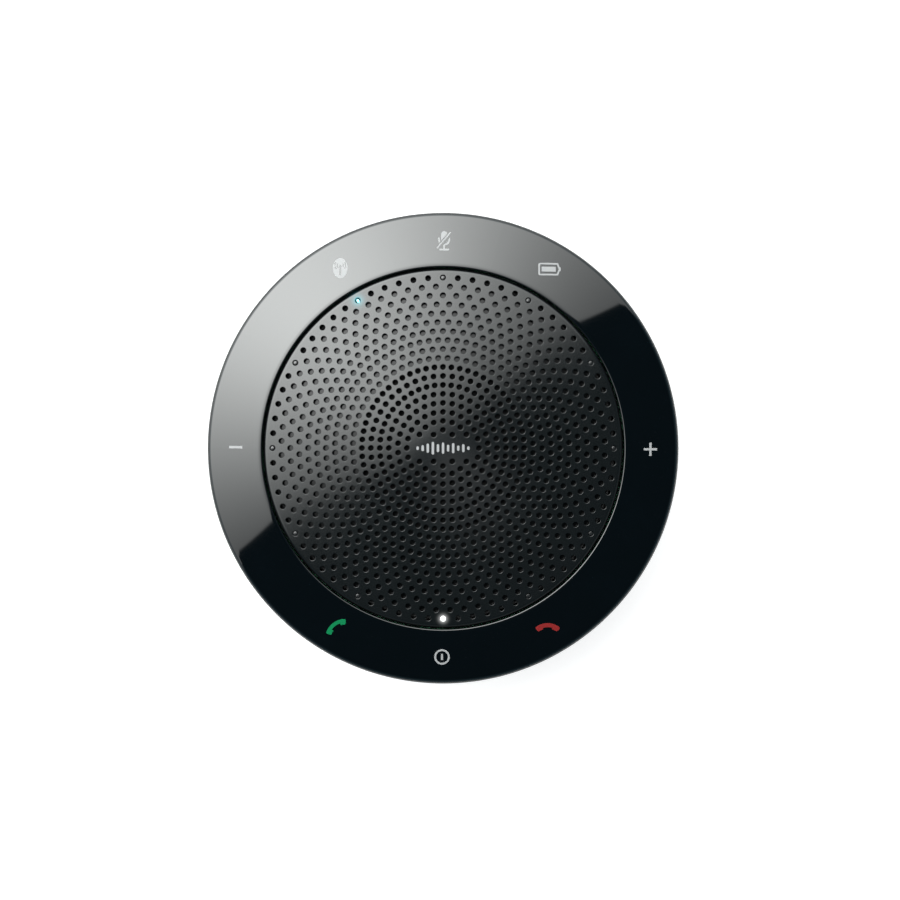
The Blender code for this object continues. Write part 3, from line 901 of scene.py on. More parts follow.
def column(shape: BMesh, radius: float, foot: float, top: float, centre: Point2, sides: int, chamfer: float = 0.0) -> None:
    """Add an upright cylinder to a shape.

    Args:
        shape: Where it goes.
        radius: Its radius.
        foot: Height of its lower face.
        top: Height of its upper face.
        centre: Its middle.
        sides: Number of sides.
        chamfer: Width by which its upper edge is rounded.
    """
    place = Matrix.Translation((centre[0], centre[1], (foot + top) / 2))
    made = bmesh.ops.create_cone(
        shape,
        cap_ends=True,
        segments=sides,
        radius1=radius,
        radius2=radius,
        depth=top - foot,
        matrix=place,
    )["verts"]
    if chamfer:
        upper = {edge for vert in made if vert.co.z > top - TINY for edge in vert.link_edges}
        rim = [edge for edge in upper if all(vert.co.z > top - TINY for vert in edge.verts)]
        round_off(shape, rim, chamfer, 3)


def block(shape: BMesh, size: Sequence[float], centre: Sequence[float], turn: float = 0.0) -> None:
    """Add a box to a shape, turned about Z."""
    place = Matrix.Translation(centre) @ Matrix.Rotation(math.radians(turn), 4, "Z")
    bmesh.ops.create_cube(shape, size=1.0, matrix=place @ Matrix.Diagonal((*size, 1.0)))


def round_off(shape: BMesh, edges: Sequence[bmesh.types.BMEdge], width: float, segments: int) -> None:
    """Round some edges of a shape."""
    bmesh.ops.bevel(
        shape,
        geom=list(edges),
        offset=width,
        offset_type="OFFSET",
        segments=segments,
        profile=0.5,
        affect="EDGES",
        material=-1,
    )


def sharp_edges(shape: BMesh, degrees: float) -> list[bmesh.types.BMEdge]:
    """Return the edges whose two faces meet at more than an angle."""
    limit = math.radians(degrees)
    return [edge for edge in shape.edges if len(edge.link_faces) == 2 and edge.calc_face_angle() > limit]


def combined(shape: BMesh, tool: BMesh, operation: str) -> BMesh:
    """Cut a closed shape with another, or join them.

    Args:
        shape: What is cut or added to.
        tool: The cutter, or what is added.
        operation: DIFFERENCE or UNION.

    Returns:
        The result. Both given shapes are freed.
    """
    made = []
    for label, source in (("work", shape), ("tool", tool)):
        mesh = bpy.data.meshes.new(label)
        source.to_mesh(mesh)
        source.free()
        made.append(bpy.data.objects.new(label, mesh))
        bpy.context.scene.collection.objects.link(made[-1])
    work, cutter = made
    boolean = work.modifiers.new("combine", "BOOLEAN")
    boolean.operation = operation
    boolean.solver = "EXACT"
    boolean.object = cutter
    bpy.context.view_layer.update()
    result = bmesh.new()
    result.from_object(work, bpy.context.evaluated_depsgraph_get())
    for piece in made:
        mesh = piece.data
        bpy.data.objects.remove(piece)
        bpy.data.meshes.remove(mesh)
    bmesh.ops.remove_doubles(result, verts=result.verts[:], dist=TINY)
    return result


def finished(
    name: str,
    shape: BMesh,
    finish: Finish,
    crease: float = 32.0,
    normal_at: Optional[Callable[[Vector], Vector]] = None,
) -> Object:
    """Make a shape drawn in millimetres into a piece in metres.

    Args:
        name: The piece's name.
        shape: The shape, which is freed.
        finish: Its finish.
        crease: Edges sharper than this angle stay crisp.
        normal_at: Gives a point's shading normal in millimetres, or a zero vector to leave it.

    Returns:
        The piece, at the origin, with its place in its mesh.
    """
    mesh = bpy.data.meshes.new(name)
    shape.to_mesh(mesh)
    shape.free()
    mesh.shade_smooth()
    mesh.set_sharp_from_angle(angle=math.radians(crease))
    if normal_at:
        mesh.normals_split_custom_set_from_vertices([normal_at(vert.co) for vert in mesh.vertices])
    mesh.transform(Matrix.Scale(MM, 4))
    mesh.materials.append(finish.material())
    piece = bpy.data.objects.new(name, mesh)
    bpy.context.scene.collection.objects.link(piece)
    LOG.info("built %s: %d faces", name, len(mesh.polygons))
    return piece


def mount(piece: Object, body: str, stands_for: Sequence[str] = ()) -> Object:
    """Set a piece on its body and hide the frame nodes it stands for.

    Args:
        piece: The finished piece.
        body: Name of the body it moves with.
        stands_for: Frame nodes that it replaces.

    Returns:
        The same piece.
    """
    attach(piece, body)
    if stands_for:
        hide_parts(*stands_for)
    return piece


# Flat signs


class FlatShape:
    """Flat faces at height 0, drawn in millimetres round the origin, that become a printed sign."""

    def __init__(self) -> None:
        """Start with nothing drawn."""
        self.shape = bmesh.new()

    def bar(self, width: float, height: float, centre: Point2 = (0, 0), turn: float = 0.0, corner: float = 0.0) -> list:
        """Draw a bar, with rounded corners if a corner radius is given.

        Args:
            width: Its width.
            height: Its height.
            centre: Its middle.
            turn: Its turn about the middle.
            corner: Radius of its corners.

        Returns:
            Its corner points, before any rounding.
        """
        place = Matrix.Translation((*centre, 0)) @ Matrix.Rotation(math.radians(turn), 4, "Z")
        size = Matrix.Diagonal((width, height, 1.0, 1.0))
        made = bmesh.ops.create_grid(self.shape, x_segments=1, y_segments=1, size=0.5, matrix=place @ size)["verts"]
        if corner:
            self.round_corners(made, corner)
        return made

    def outline(self, points: Sequence[Point2]) -> bmesh.types.BMFace:
        """Draw one face from its corners."""
        return self.shape.faces.new([self.shape.verts.new((*point, 0.0)) for point in points])

    def round_corners(self, corners: Sequence[bmesh.types.BMVert], radius: float) -> None:
        """Round some corners of a face."""
        bmesh.ops.bevel(
            self.shape,
            geom=list(corners),
            offset=radius,
            offset_type="OFFSET",
            segments=5,
            profile=0.5,
            affect="VERTICES",
            material=-1,
        )

    def band(self, inner: float, outer: float, start: float, end: float, centre: Point2 = (0, 0)) -> None:
        """Draw part of a flat ring between two radii and two angles."""
        full = abs(end - start) > 359.0
        ends = [self.shape.verts.new(polar(radius, start) + Vector((*centre, 0))) for radius in (inner, outer)]
        edge = self.shape.edges.new(ends)
        bmesh.ops.spin(
            self.shape,
            geom=[*ends, edge],
            cent=(*centre, 0.0),
            axis=(0, 0, 1),
            dvec=(0, 0, 0),
            angle=math.radians(end - start),
            steps=max(3, round(abs(end - start) / 8)),
            use_merge=full,
            use_duplicate=False,
        )

    def disc(self, radius: float, centre: Point2 = (0, 0), stretch: float = 1.0) -> None:
        """Draw a disc, stretched in height by a share."""
        place = Matrix.Translation((*centre, 0)) @ Matrix.Diagonal((1.0, stretch, 1.0, 1.0))
        bmesh.ops.create_circle(self.shape, cap_ends=True, segments=32, radius=radius, matrix=place)

    def split(self, point: Point2, normal: Point2) -> None:
        """Cut all faces along a line, and keep both sides."""
        geometry = self.shape.verts[:] + self.shape.edges[:] + self.shape.faces[:]
        bmesh.ops.bisect_plane(
            self.shape, geom=geometry, dist=TINY, plane_co=(*point, 0.0), plane_no=(*normal, 0.0)
        )

    def erase(self, inside: Callable[[Vector], bool]) -> None:
        """Delete the faces whose middle passes a test."""
        gone = [face for face in self.shape.faces if inside(face.calc_center_median())]
        bmesh.ops.delete(self.shape, geom=gone, context="FACES")

    def place(self, turn: float, centre: Vector) -> None:
        """Turn all that is drawn and move it to its place."""
        matrix = Matrix.Translation((centre.x, centre.y, 0.0)) @ Matrix.Rotation(math.radians(turn), 4, "Z")
        bmesh.ops.transform(self.shape, matrix=matrix, verts=self.shape.verts[:])

    def grid(self, pitch: float) -> None:
        """Cut all faces on a square grid, so that they can follow a curved face."""
        for axis in (0, 1):
            normal = (1.0, 0.0) if axis == 0 else (0.0, 1.0)
            reach = [vert.co[axis] for vert in self.shape.verts]
            first, last = math.floor(min(reach) / pitch), math.ceil(max(reach) / pitch)
            for step in range(first, last + 1):
                self.split((normal[0] * step * pitch, normal[1] * step * pitch), normal)

    def raised(self, surface: Callable[[float], float], stand: float, sink: float) -> BMesh:
        """Give the faces thickness and lay them on a turned surface.

        Args:
            surface: Height of the surface at a radius.
            stand: How far the top stands proud of it.
            sink: How far the foot lies under it.

        Returns:
            The closed shape.
        """
        bmesh.ops.remove_doubles(self.shape, verts=self.shape.verts[:], dist=TINY)
        upper = self.shape.faces[:]
        bmesh.ops.recalc_face_normals(self.shape, faces=upper)
        made = bmesh.ops.extrude_face_region(self.shape, geom=upper, use_keep_orig=True)["geom"]
        foot = {item for item in made if isinstance(item, bmesh.types.BMVert)}
        for vert in self.shape.verts:
            shift = -sink if vert in foot else stand
            vert.co.z = surface(math.hypot(vert.co.x, vert.co.y)) + shift
        tidy(self.shape)
        return self.shape


# Sub-assemblies


@dataclass
class Grille:
    """The perforated speaker plate with its skirt, the sound-level mark and the cloth behind it."""

    radius: float = 45.7
    edge_round: float = 1.2
    wall: float = 1.5
    skirt_bore: float = 44.5
    skirt_foot: float = 26.8
    hole_radius: float = 0.7
    hole_sides: int = 14
    rim_round: float = 0.12
    backing_inner: float = 22.0
    backing_outer: float = 42.4
    backing_drops: Point2 = (1.53, 1.75)
    row_pitch: float = 2.277
    first_full_row: int = 3
    last_row: int = 19
    mark_half_height: float = 2.0
    inner_holes: tuple[Point2, ...] = ((0.0, 4.57), (2.35, 3.37), (-2.35, 3.37))
    sides: int = 180
    cloth_radius: float = 42.5
    cloth_wall: float = 0.3
    cloth_gap: float = 0.3
    bar_heights: tuple[float, ...] = (0.9, 1.5, 2.3, 3.2, 2.0, 2.8, 1.7, 2.5, 1.3, 2.0, 0.9)
    bar_width: float = 0.62
    bar_pitch: float = 1.28

    @staticmethod
    def holes_in_row(row: int) -> int:
        """Return how many holes a row holds."""
        if row < 7:
            return 6 * row
        return 48 if row < 9 else 60 if row < 12 else 72

    def holes(self) -> list[Vector]:
        """Return the middles of all holes, row by row, with room left for the mark."""
        made = [Vector((x, side * y, 0.0)) for x, y in self.inner_holes for side in (1, -1)]
        for row in range(self.first_full_row, self.last_row + 1):
            count = self.holes_in_row(row)
            stagger = 180.0 / count if row >= 10 and row % 2 == 0 else 0.0
            for index in range(count):
                point = polar(self.row_pitch * row, 90.0 + stagger + 360.0 * index / count)
                if row > self.first_full_row or abs(point.y) > self.mark_half_height:
                    made.append(point)
        return made

    @staticmethod
    def loop(shape: BMesh, centre: Vector, radius: float, height: float, sides: int) -> list[bmesh.types.BMVert]:
        """Add a level circle of edges to a shape and return its points in order."""
        points = [centre.xy.to_3d() + polar(radius, 360.0 * side / sides, height) for side in range(sides)]
        verts = [shape.verts.new(point) for point in points]
        for first, second in zip(verts, verts[1:] + verts[:1]):
            shape.edges.new((first, second))
        return verts

    def perforated_face(self) -> BMesh:
        """Return the plate with its holes, their rims rounded, laid on the dome."""
        shape = bmesh.new()
        levels = []
        for height, reach in ((0.0, self.radius - self.edge_round), (-self.wall, self.skirt_bore)):
            loops = [self.loop(shape, hole, self.hole_radius, height, self.hole_sides) for hole in self.holes()]
            self.loop(shape, Vector((0, 0, 0)), reach, height, self.sides)
            open_edges = [edge for edge in shape.edges if not edge.link_faces]
            normal = (0, 0, -1 if levels else 1)
            bmesh.ops.triangle_fill(shape, use_beauty=True, use_dissolve=False, edges=open_edges, normal=normal)
            levels.append(loops)
        for rim, foot in zip(*levels):
            for side in range(self.hole_sides):
                after = (side + 1) % self.hole_sides
                shape.faces.new((rim[side], rim[after], foot[after], foot[side]))
        bmesh.ops.recalc_face_normals(shape, faces=shape.faces[:])
        edges = [edge for edge in sharp_edges(shape, 60.0) if all(vert.co.z > -TINY for vert in edge.verts)]
        round_off(shape, edges, self.rim_round, 1)
        for vert in shape.verts:
            vert.co.z += DOME.height(vert.co.xy.length)
        return shape

    def rim_profile(self) -> list[Point2]:
        """Return the plate's outer edge: a rounded shoulder, the skirt and its inner side."""
        shoulder = self.radius - self.edge_round
        lean = 90.0 - math.degrees(math.atan(DOME.slope(shoulder)))
        profile = [(shoulder, DOME.height(shoulder))]
        centre = (shoulder, DOME.height(shoulder) - self.edge_round)
        profile += arc(centre, self.edge_round, lean, 0.0, 8)
        profile += [(self.radius, self.skirt_foot + 0.2), (self.radius - 0.2, self.skirt_foot)]
        profile += [(self.skirt_bore, self.skirt_foot)]
        profile += [(self.skirt_bore, DOME.height(self.skirt_bore) - self.wall)]
        return profile

    def face_normal(self, point: Vector) -> Vector:
        """Return the dome's normal at a point of its top face, or a zero vector elsewhere."""
        radius = point.xy.length
        if radius > self.radius - self.edge_round + TINY or abs(point.z - DOME.height(radius)) > 0.002:
            return Vector((0, 0, 0))
        out = point.xy.normalized() * DOME.slope(radius) if radius > TINY else Vector((0, 0))
        return Vector((out.x, out.y, 1.0)).normalized()

    def build_plate(self) -> None:
        """Build the plate and weld its rim to it."""
        shape = self.perforated_face()
        rim = turned(self.rim_profile(), self.sides)
        mesh = bpy.data.meshes.new("grille_rim")
        rim.to_mesh(mesh)
        rim.free()
        shape.from_mesh(mesh)
        bpy.data.meshes.remove(mesh)
        bmesh.ops.remove_doubles(shape, verts=shape.verts[:], dist=0.001)
        bmesh.ops.recalc_face_normals(shape, faces=shape.faces[:])
        piece = finished("grille_plate", shape, GRILLE_SATIN, 50.0, self.face_normal)
        mount(piece, Body.BASE, ["speaker_grille"])

    def build_mark(self) -> None:
        """Build the row of level bars printed in the middle of the plate."""
        sign = FlatShape()
        half = (len(self.bar_heights) - 1) / 2
        for index, height in enumerate(self.bar_heights):
            centre = ((index - half) * self.bar_pitch, 0.0)
            sign.bar(self.bar_width, height, centre, corner=self.bar_width * 0.45)
        sign.grid(2.0)
        piece = finished("level_mark", sign.raised(DOME.height, 0.03, 0.05), PRINT_SILVER)
        mount(piece, Body.BASE)

    def build_backing(self) -> None:
        """Build the thin black ring that closes the outer holes from below."""
        upper, lower = (DOME.points(self.backing_inner, self.backing_outer, drop, 12) for drop in self.backing_drops)
        shape = turned([*upper, *reversed(lower)], 120, closed=True)
        mount(finished("grille_backing_ring", shape, GRILLE_BACKING), Body.BASE)

    def build_cloth(self) -> None:
        """Build the stretched cloth under the plate."""
        drop = self.wall + self.cloth_gap
        shape = turned(DOME.points(0.0, self.cloth_radius, drop, 20), 96)
        for face in shape.faces:
            if face.normal.z < 0:
                face.normal_flip()
        cloth = finished("acoustic_cloth_sheet", shape, ACOUSTIC_CLOTH)
        wall = cloth.modifiers.new("wall", "SOLIDIFY")
        wall.thickness = self.cloth_wall * MM
        wall.offset = -1.0
        mount(cloth, Body.BASE, ["acoustic_cloth"])

    def build(self) -> None:
        """Build the plate, its mark, the backing and the cloth."""
        self.build_plate()
        self.build_mark()
        self.build_backing()
        self.build_cloth()


@dataclass
class LampRing:
    """The clear ring under the plate's edge, with a pin in every sixth hole of the last row."""

    inner: float = 42.7
    outer: float = 44.5
    foot: float = 23.0
    top: float = 24.4
    pin_radius: float = 0.56
    pin_drop: float = 0.06
    lit_radius: dict[LampState, float] = field(
        default_factory=lambda: {LampState.LINKED: 0.32, LampState.POWERED: 0.85}
    )
    lit: dict[int, LampState] = field(
        default_factory=lambda: {LINKED_LAMP: LampState.LINKED, POWERED_LAMP: LampState.POWERED}
    )
    lit_stand: float = 0.1

    def pin(self, shape: BMesh, degrees: float, foot: float, radius: float) -> None:
        """Add one round-ended pin to a shape, its top level with the plate's face."""
        place = polar(LAMP_CIRCLE, degrees)
        column(shape, radius, foot, DOME.height(LAMP_CIRCLE), (place.x, place.y), 20, radius * 0.35)

    def follow_plate(self, shape: BMesh, rise: float) -> None:
        """Lean the tops of a shape's pins as the plate leans, and raise them a little."""
        level = DOME.height(LAMP_CIRCLE)
        for vert in shape.verts:
            if vert.co.z > level - 1.0:
                vert.co.z += DOME.height(vert.co.xy.length) - level + rise

    def build(self) -> None:
        """Build the ring with its dark pins, and each lit pin by itself."""
        corner = 0.3
        profile = arc((self.outer - corner, self.top - corner), corner, 90.0, 0.0, 3)
        profile += [(self.outer, self.foot), (self.inner, self.foot)]
        profile += arc((self.inner + corner, self.top - corner), corner, 180.0, 90.0, 3)
        shape = turned(profile, 144, closed=True)
        for index in range(LAMP_COUNT):
            degrees = 360 * index // LAMP_COUNT
            if degrees not in self.lit:
                self.pin(shape, degrees, self.top - corner, self.pin_radius)
        self.follow_plate(shape, -self.pin_drop)
        mount(finished("light_ring_clear", shape, LIGHT_PIPE), Body.BASE, ["light_ring"])
        finishes = {LampState.LINKED: PIPE_LINKED, LampState.POWERED: PIPE_POWERED}
        for degrees, state in self.lit.items():
            pin = bmesh.new()
            self.pin(pin, degrees, self.top + 0.02, min(self.lit_radius[state], self.pin_radius))
            self.follow_plate(pin, self.lit_stand)
            mount(finished(f"lamp_pin_{state.value}", pin, finishes[state]), Body.BASE)


@dataclass(frozen=True)
class Key:
    """One press place of the control ring.

    Attributes:
        name: The key's name in the frame.
        press: Angle of its press place.
        start: Angle where its sector starts.
        end: Angle where its sector ends.
        glyph: Its sign.
        finish: The sign's ink.
        nudge: How far the sign lies from the middle of the press place.
    """

    name: str
    press: float
    start: float
    end: float
    glyph: Glyph
    finish: Finish
    nudge: Point2 = (0.0, 0.0)

    @property
    def body(self) -> str:
        """Name of the key's body in the frame."""
        return f"{self.name}_key"


KEYS = (
    Key("volume_up", 0.0, -30.0, 30.0, Glyph.PLUS, PRINT_WHITE),
    Key("battery", 60.0, 30.0, 75.0, Glyph.BATTERY, PRINT_WHITE, (0.45, 0.0)),
    Key("mute", 90.0, 75.0, 105.0, Glyph.MICROPHONE_OFF, PRINT_WHITE),
    Key("wireless", 120.0, 105.0, 150.0, Glyph.WIRELESS, PRINT_WHITE),
    Key("volume_down", 180.0, 150.0, 210.0, Glyph.MINUS, PRINT_WHITE),
    Key("answer", 240.0, 210.0, 255.0, Glyph.LIFT, PRINT_GREEN, (-0.7, 0.3)),
    Key("power", 270.0, 255.0, 285.0, Glyph.POWER, PRINT_WHITE, (0.0, -0.36)),
    Key("end_call", 300.0, 285.0, 330.0, Glyph.HANG_UP, PRINT_RED, (0.45, 0.3)),
)


@dataclass
class ControlRing:
    """The seamless gloss ring, made of two half sectors for each key that meet at its press place."""

    radius: float = 60.0
    bore: float = 46.0
    skirt_foot: float = 25.0
    lip_foot: float = 27.6
    wall: float = 1.3
    edge_round: float = 1.5
    edge_slope: float = 11.0
    bore_round: float = 0.25
    key_circle: float = 53.0
    sign_circle: float = 52.64
    sign_turn: float = -0.3
    flat_margin: float = 4.0
    step: float = 1.25
    post_radius: float = 1.3
    post_foot: float = 24.5

    def section(self) -> list[Point2]:
        """Return the ring's closed section, from the outer edge down and round to the top face."""
        edge_centre = self.radius - self.edge_round
        lean = math.radians(self.edge_slope)
        outer_top = edge_centre + self.edge_round * math.sin(lean)
        edge_height = CROWN.height(outer_top) - self.edge_round * math.cos(lean)
        points = arc((edge_centre, edge_height), self.edge_round, 90.0 - self.edge_slope, 0.0, 9)
        inner_wall = self.radius - self.wall
        points += [(self.radius, self.skirt_foot + 0.25), (self.radius - 0.25, self.skirt_foot)]
        points += [(inner_wall, self.skirt_foot)]
        lip_wall = self.bore + self.wall
        for part in range(5):
            radius = inner_wall + (lip_wall - inner_wall) * part / 4
            points.append((radius, CROWN.height(radius) - self.wall))
        points += [(lip_wall, self.lip_foot), (self.bore, self.lip_foot)]
        bore_lean = math.atan(CROWN.slope(self.bore))
        inner_top = self.bore + self.bore_round * (1.0 + math.sin(bore_lean))
        bore_height = CROWN.height(inner_top) - self.bore_round * math.cos(bore_lean)
        bore_centre = (self.bore + self.bore_round, bore_height)
        points += arc(bore_centre, self.bore_round, 180.0, 90.0 - math.degrees(bore_lean), 8)
        count = 15
        for part in range(1, count):
            radius = inner_top + (outer_top - inner_top) * part / count
            points.append((radius, CROWN.height(radius)))
        return points

    def sector(self, start: float, end: float) -> BMesh:
        """Return the section spun between two angles, closed at both ends."""
        shape = bmesh.new()
        corners = [shape.verts.new(polar(radius, start, height)) for radius, height in self.section()]
        face = shape.faces.new(corners)
        bmesh.ops.spin(
            shape,
            geom=[face, *face.edges, *face.verts],
            cent=(0, 0, 0),
            axis=(0, 0, 1),
            dvec=(0, 0, 0),
            angle=math.radians(end - start),
            steps=round((end - start) / self.step),
            use_merge=False,
            use_duplicate=False,
        )
        tidy(shape)
        return shape

    def build_half(self, key: Key, outer: float, label: str) -> None:
        """Build the skin between a key's press place and one of its borders.

        Args:
            key: The key.
            outer: Angle of the border.
            label: Name of this half.
        """
        shape = self.sector(min(outer, key.press), max(outer, key.press))
        piece = finished(f"ring_{key.name}_{label}", shape, RING_GLOSS, 40.0)
        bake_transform(piece)
        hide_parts(f"key_{key.name}")

    def build_post(self, key: Key) -> None:
        """Build the post under a press place that pushes the switch."""
        shape = bmesh.new()
        place = polar(self.key_circle, key.press)
        top = CROWN.height(self.key_circle) - self.wall / 2
        column(shape, self.post_radius, self.post_foot, top, (place.x, place.y), 24)
        middle = (place.x, place.y, (self.post_foot + 0.6 + top) / 2)
        for turn in (0.0, 90.0):
            block(shape, (self.post_radius * 3, 0.6, top - self.post_foot - 0.6), middle, key.press + turn)
        mount(finished(f"post_{key.name}", shape, MOULDED_BLACK), key.body)

    def build_sign(self, key: Key) -> None:
        """Build the printed sign of a key, upright as seen from above."""
        sign = SIGNS[key.glyph]()
        sign.place(self.sign_turn, polar(self.sign_circle, key.press + self.sign_turn) + Vector((*key.nudge, 0.0)))
        sign.grid(1.0)
        piece = finished(f"sign_{key.name}", sign.raised(CROWN.height, 0.015, 0.06), key.finish)
        mount(piece, key.body)

    def build(self) -> None:
        """Build the skins, posts and signs of all keys."""
        for key in KEYS:
            self.build_half(key, key.start, "before")
            self.build_half(key, key.end, "after")
            self.build_post(key)
            self.build_sign(key)


def sign_plus() -> FlatShape:
    """Draw a plus."""
    sign, span, stroke = FlatShape(), 3.4, 0.58
    arm = (span - stroke) / 2
    sign.bar(stroke, span)
    for side in (-1, 1):
        sign.bar(arm, stroke, (side * (stroke + arm) / 2, 0.0))
    return sign


def sign_minus() -> FlatShape:
    """Draw a minus."""
    sign = FlatShape()
    sign.bar(3.4, 0.62)
    return sign


def sign_battery() -> FlatShape:
    """Draw a lying battery, nearly full, with its pole to the right."""
    sign = FlatShape()
    half_width, half_height, pole, slant = 2.85, 1.6, 0.5, 0.42
    right = half_width - 0.25
    case = sign.outline(
        [
            (-half_width, -half_height), (right - slant, -half_height), (right, -pole), (half_width, -pole),
            (half_width, pole), (right, pole), (right - slant, half_height), (-half_width, half_height),
        ]
    )
    corners = [vert for vert in case.verts if vert.co.x < 1 - half_width]
    sign.round_corners(corners, 0.5)
    inside = sign.shape.faces[:]
    bmesh.ops.inset_region(sign.shape, faces=inside, thickness=0.42, use_boundary=True, use_even_offset=True)
    bmesh.ops.delete(sign.shape, geom=inside, context="FACES_ONLY")
    sign.bar(3.6, 1.25, (-0.2, 0.0))
    return sign


def sign_microphone_off() -> FlatShape:
    """Draw a microphone with a stroke through it."""
    sign = FlatShape()
    sign.bar(1.6, 3.05, (0.0, 0.95), corner=0.78)
    sign.band(1.08, 1.53, 180.0, 360.0, (0.0, 0.35))
    for side in (-1, 1):
        sign.bar(0.45, 0.5, (side * 1.305, 0.6))
    sign.bar(0.45, 0.85, (0.0, -1.6))
    sign.bar(2.5, 0.45, (0.0, -2.25))
    lean = 50.0
    along = Vector((math.cos(math.radians(lean)), math.sin(math.radians(lean))))
    across = Vector((along.y, -along.x))
    gap, stroke = 0.6, 0.2
    for shift in (-gap, gap):
        sign.split(tuple(across * shift), tuple(across))
    sign.erase(lambda middle: abs(middle.xy.dot(across)) < gap and middle.y > -1.4)
    sign.bar(5.3, stroke * 1.6, tuple(across * -0.1 + Vector((0.0, 0.1))), turn=lean)
    return sign


def sign_wireless() -> FlatShape:
    """Draw a filled oval with a mast and its waves left out of it."""
    waves = FlatShape()
    tip = (0.0, 0.65)
    for inner, outer in ((0.62, 0.95), (1.2, 1.5)):
        for middle in (0.0, 180.0):
            waves.band(inner, outer, middle - 40.0, middle + 40.0, tip)
    waves.bar(0.44, 2.7, (0.0, -0.55))
    waves.disc(1.85, stretch=1.38)
    shape = waves.shape
    bmesh.ops.dissolve_faces(shape, faces=[face for face in shape.faces if len(face.verts) == 4], use_verts=False)
    bmesh.ops.delete(shape, geom=shape.faces[:], context="FACES_ONLY")
    inner_edges = [edge for edge in shape.edges if not edge.link_faces]
    bmesh.ops.triangle_fill(shape, use_beauty=True, use_dissolve=False, edges=inner_edges, normal=(0, 0, 1))
    return waves


def handset(radius: float, reach: float, stroke: float, pad: float, pad_depth: float) -> FlatShape:
    """Draw a telephone handset that arches upwards.

    Args:
        radius: Radius of its back.
        reach: Half the angle it spans.
        stroke: Thickness of its grip.
        pad: Width of each end pad.
        pad_depth: Depth of each end pad.

    Returns:
        The handset, with the middle of its height at the origin.
    """
    sign = FlatShape()
    wide = math.degrees(pad / (radius - pad_depth / 2))
    sign.band(radius - stroke, radius, 90.0 - reach + wide, 90.0 + reach - wide)
    for start, end in ((90.0 - reach, 90.0 - reach + wide), (90.0 + reach - wide, 90.0 + reach)):
        sign.band(radius - pad_depth, radius, start, end)
    bmesh.ops.remove_doubles(sign.shape, verts=sign.shape.verts[:], dist=TINY)
    limit = abs(math.cos(math.radians(90.0 - reach)))
    tips = [vert for vert in sign.shape.verts if abs(vert.co.x) > vert.co.xy.length * limit - TINY]
    sign.round_corners(tips, pad * 0.28)
    low = min(vert.co.y for vert in sign.shape.verts)
    bmesh.ops.translate(sign.shape, verts=sign.shape.verts[:], vec=(0.0, -(radius + low) / 2, 0.0))
    return sign


def sign_lift() -> FlatShape:
    """Draw a lifted handset."""
    sign = handset(5.2, 37.5, 0.95, 1.5, 1.45)
    sign.place(37.0, Vector((0, 0, 0)))
    return sign


def sign_power() -> FlatShape:
    """Draw a ring with an upright bar in it."""
    sign = FlatShape()
    sign.band(1.5, 1.98, 0.0, 360.0)
    sign.bar(0.5, 1.55)
    return sign


def sign_hang_up() -> FlatShape:
    """Draw a handset laid down."""
    return handset(5.0, 40.5, 1.05, 1.7, 1.4)


SIGNS: dict[Glyph, Callable[[], FlatShape]] = {
    Glyph.PLUS: sign_plus,
    Glyph.MINUS: sign_minus,
    Glyph.BATTERY: sign_battery,
    Glyph.MICROPHONE_OFF: sign_microphone_off,
    Glyph.WIRELESS: sign_wireless,
    Glyph.LIFT: sign_lift,
    Glyph.POWER: sign_power,
    Glyph.HANG_UP: sign_hang_up,
}


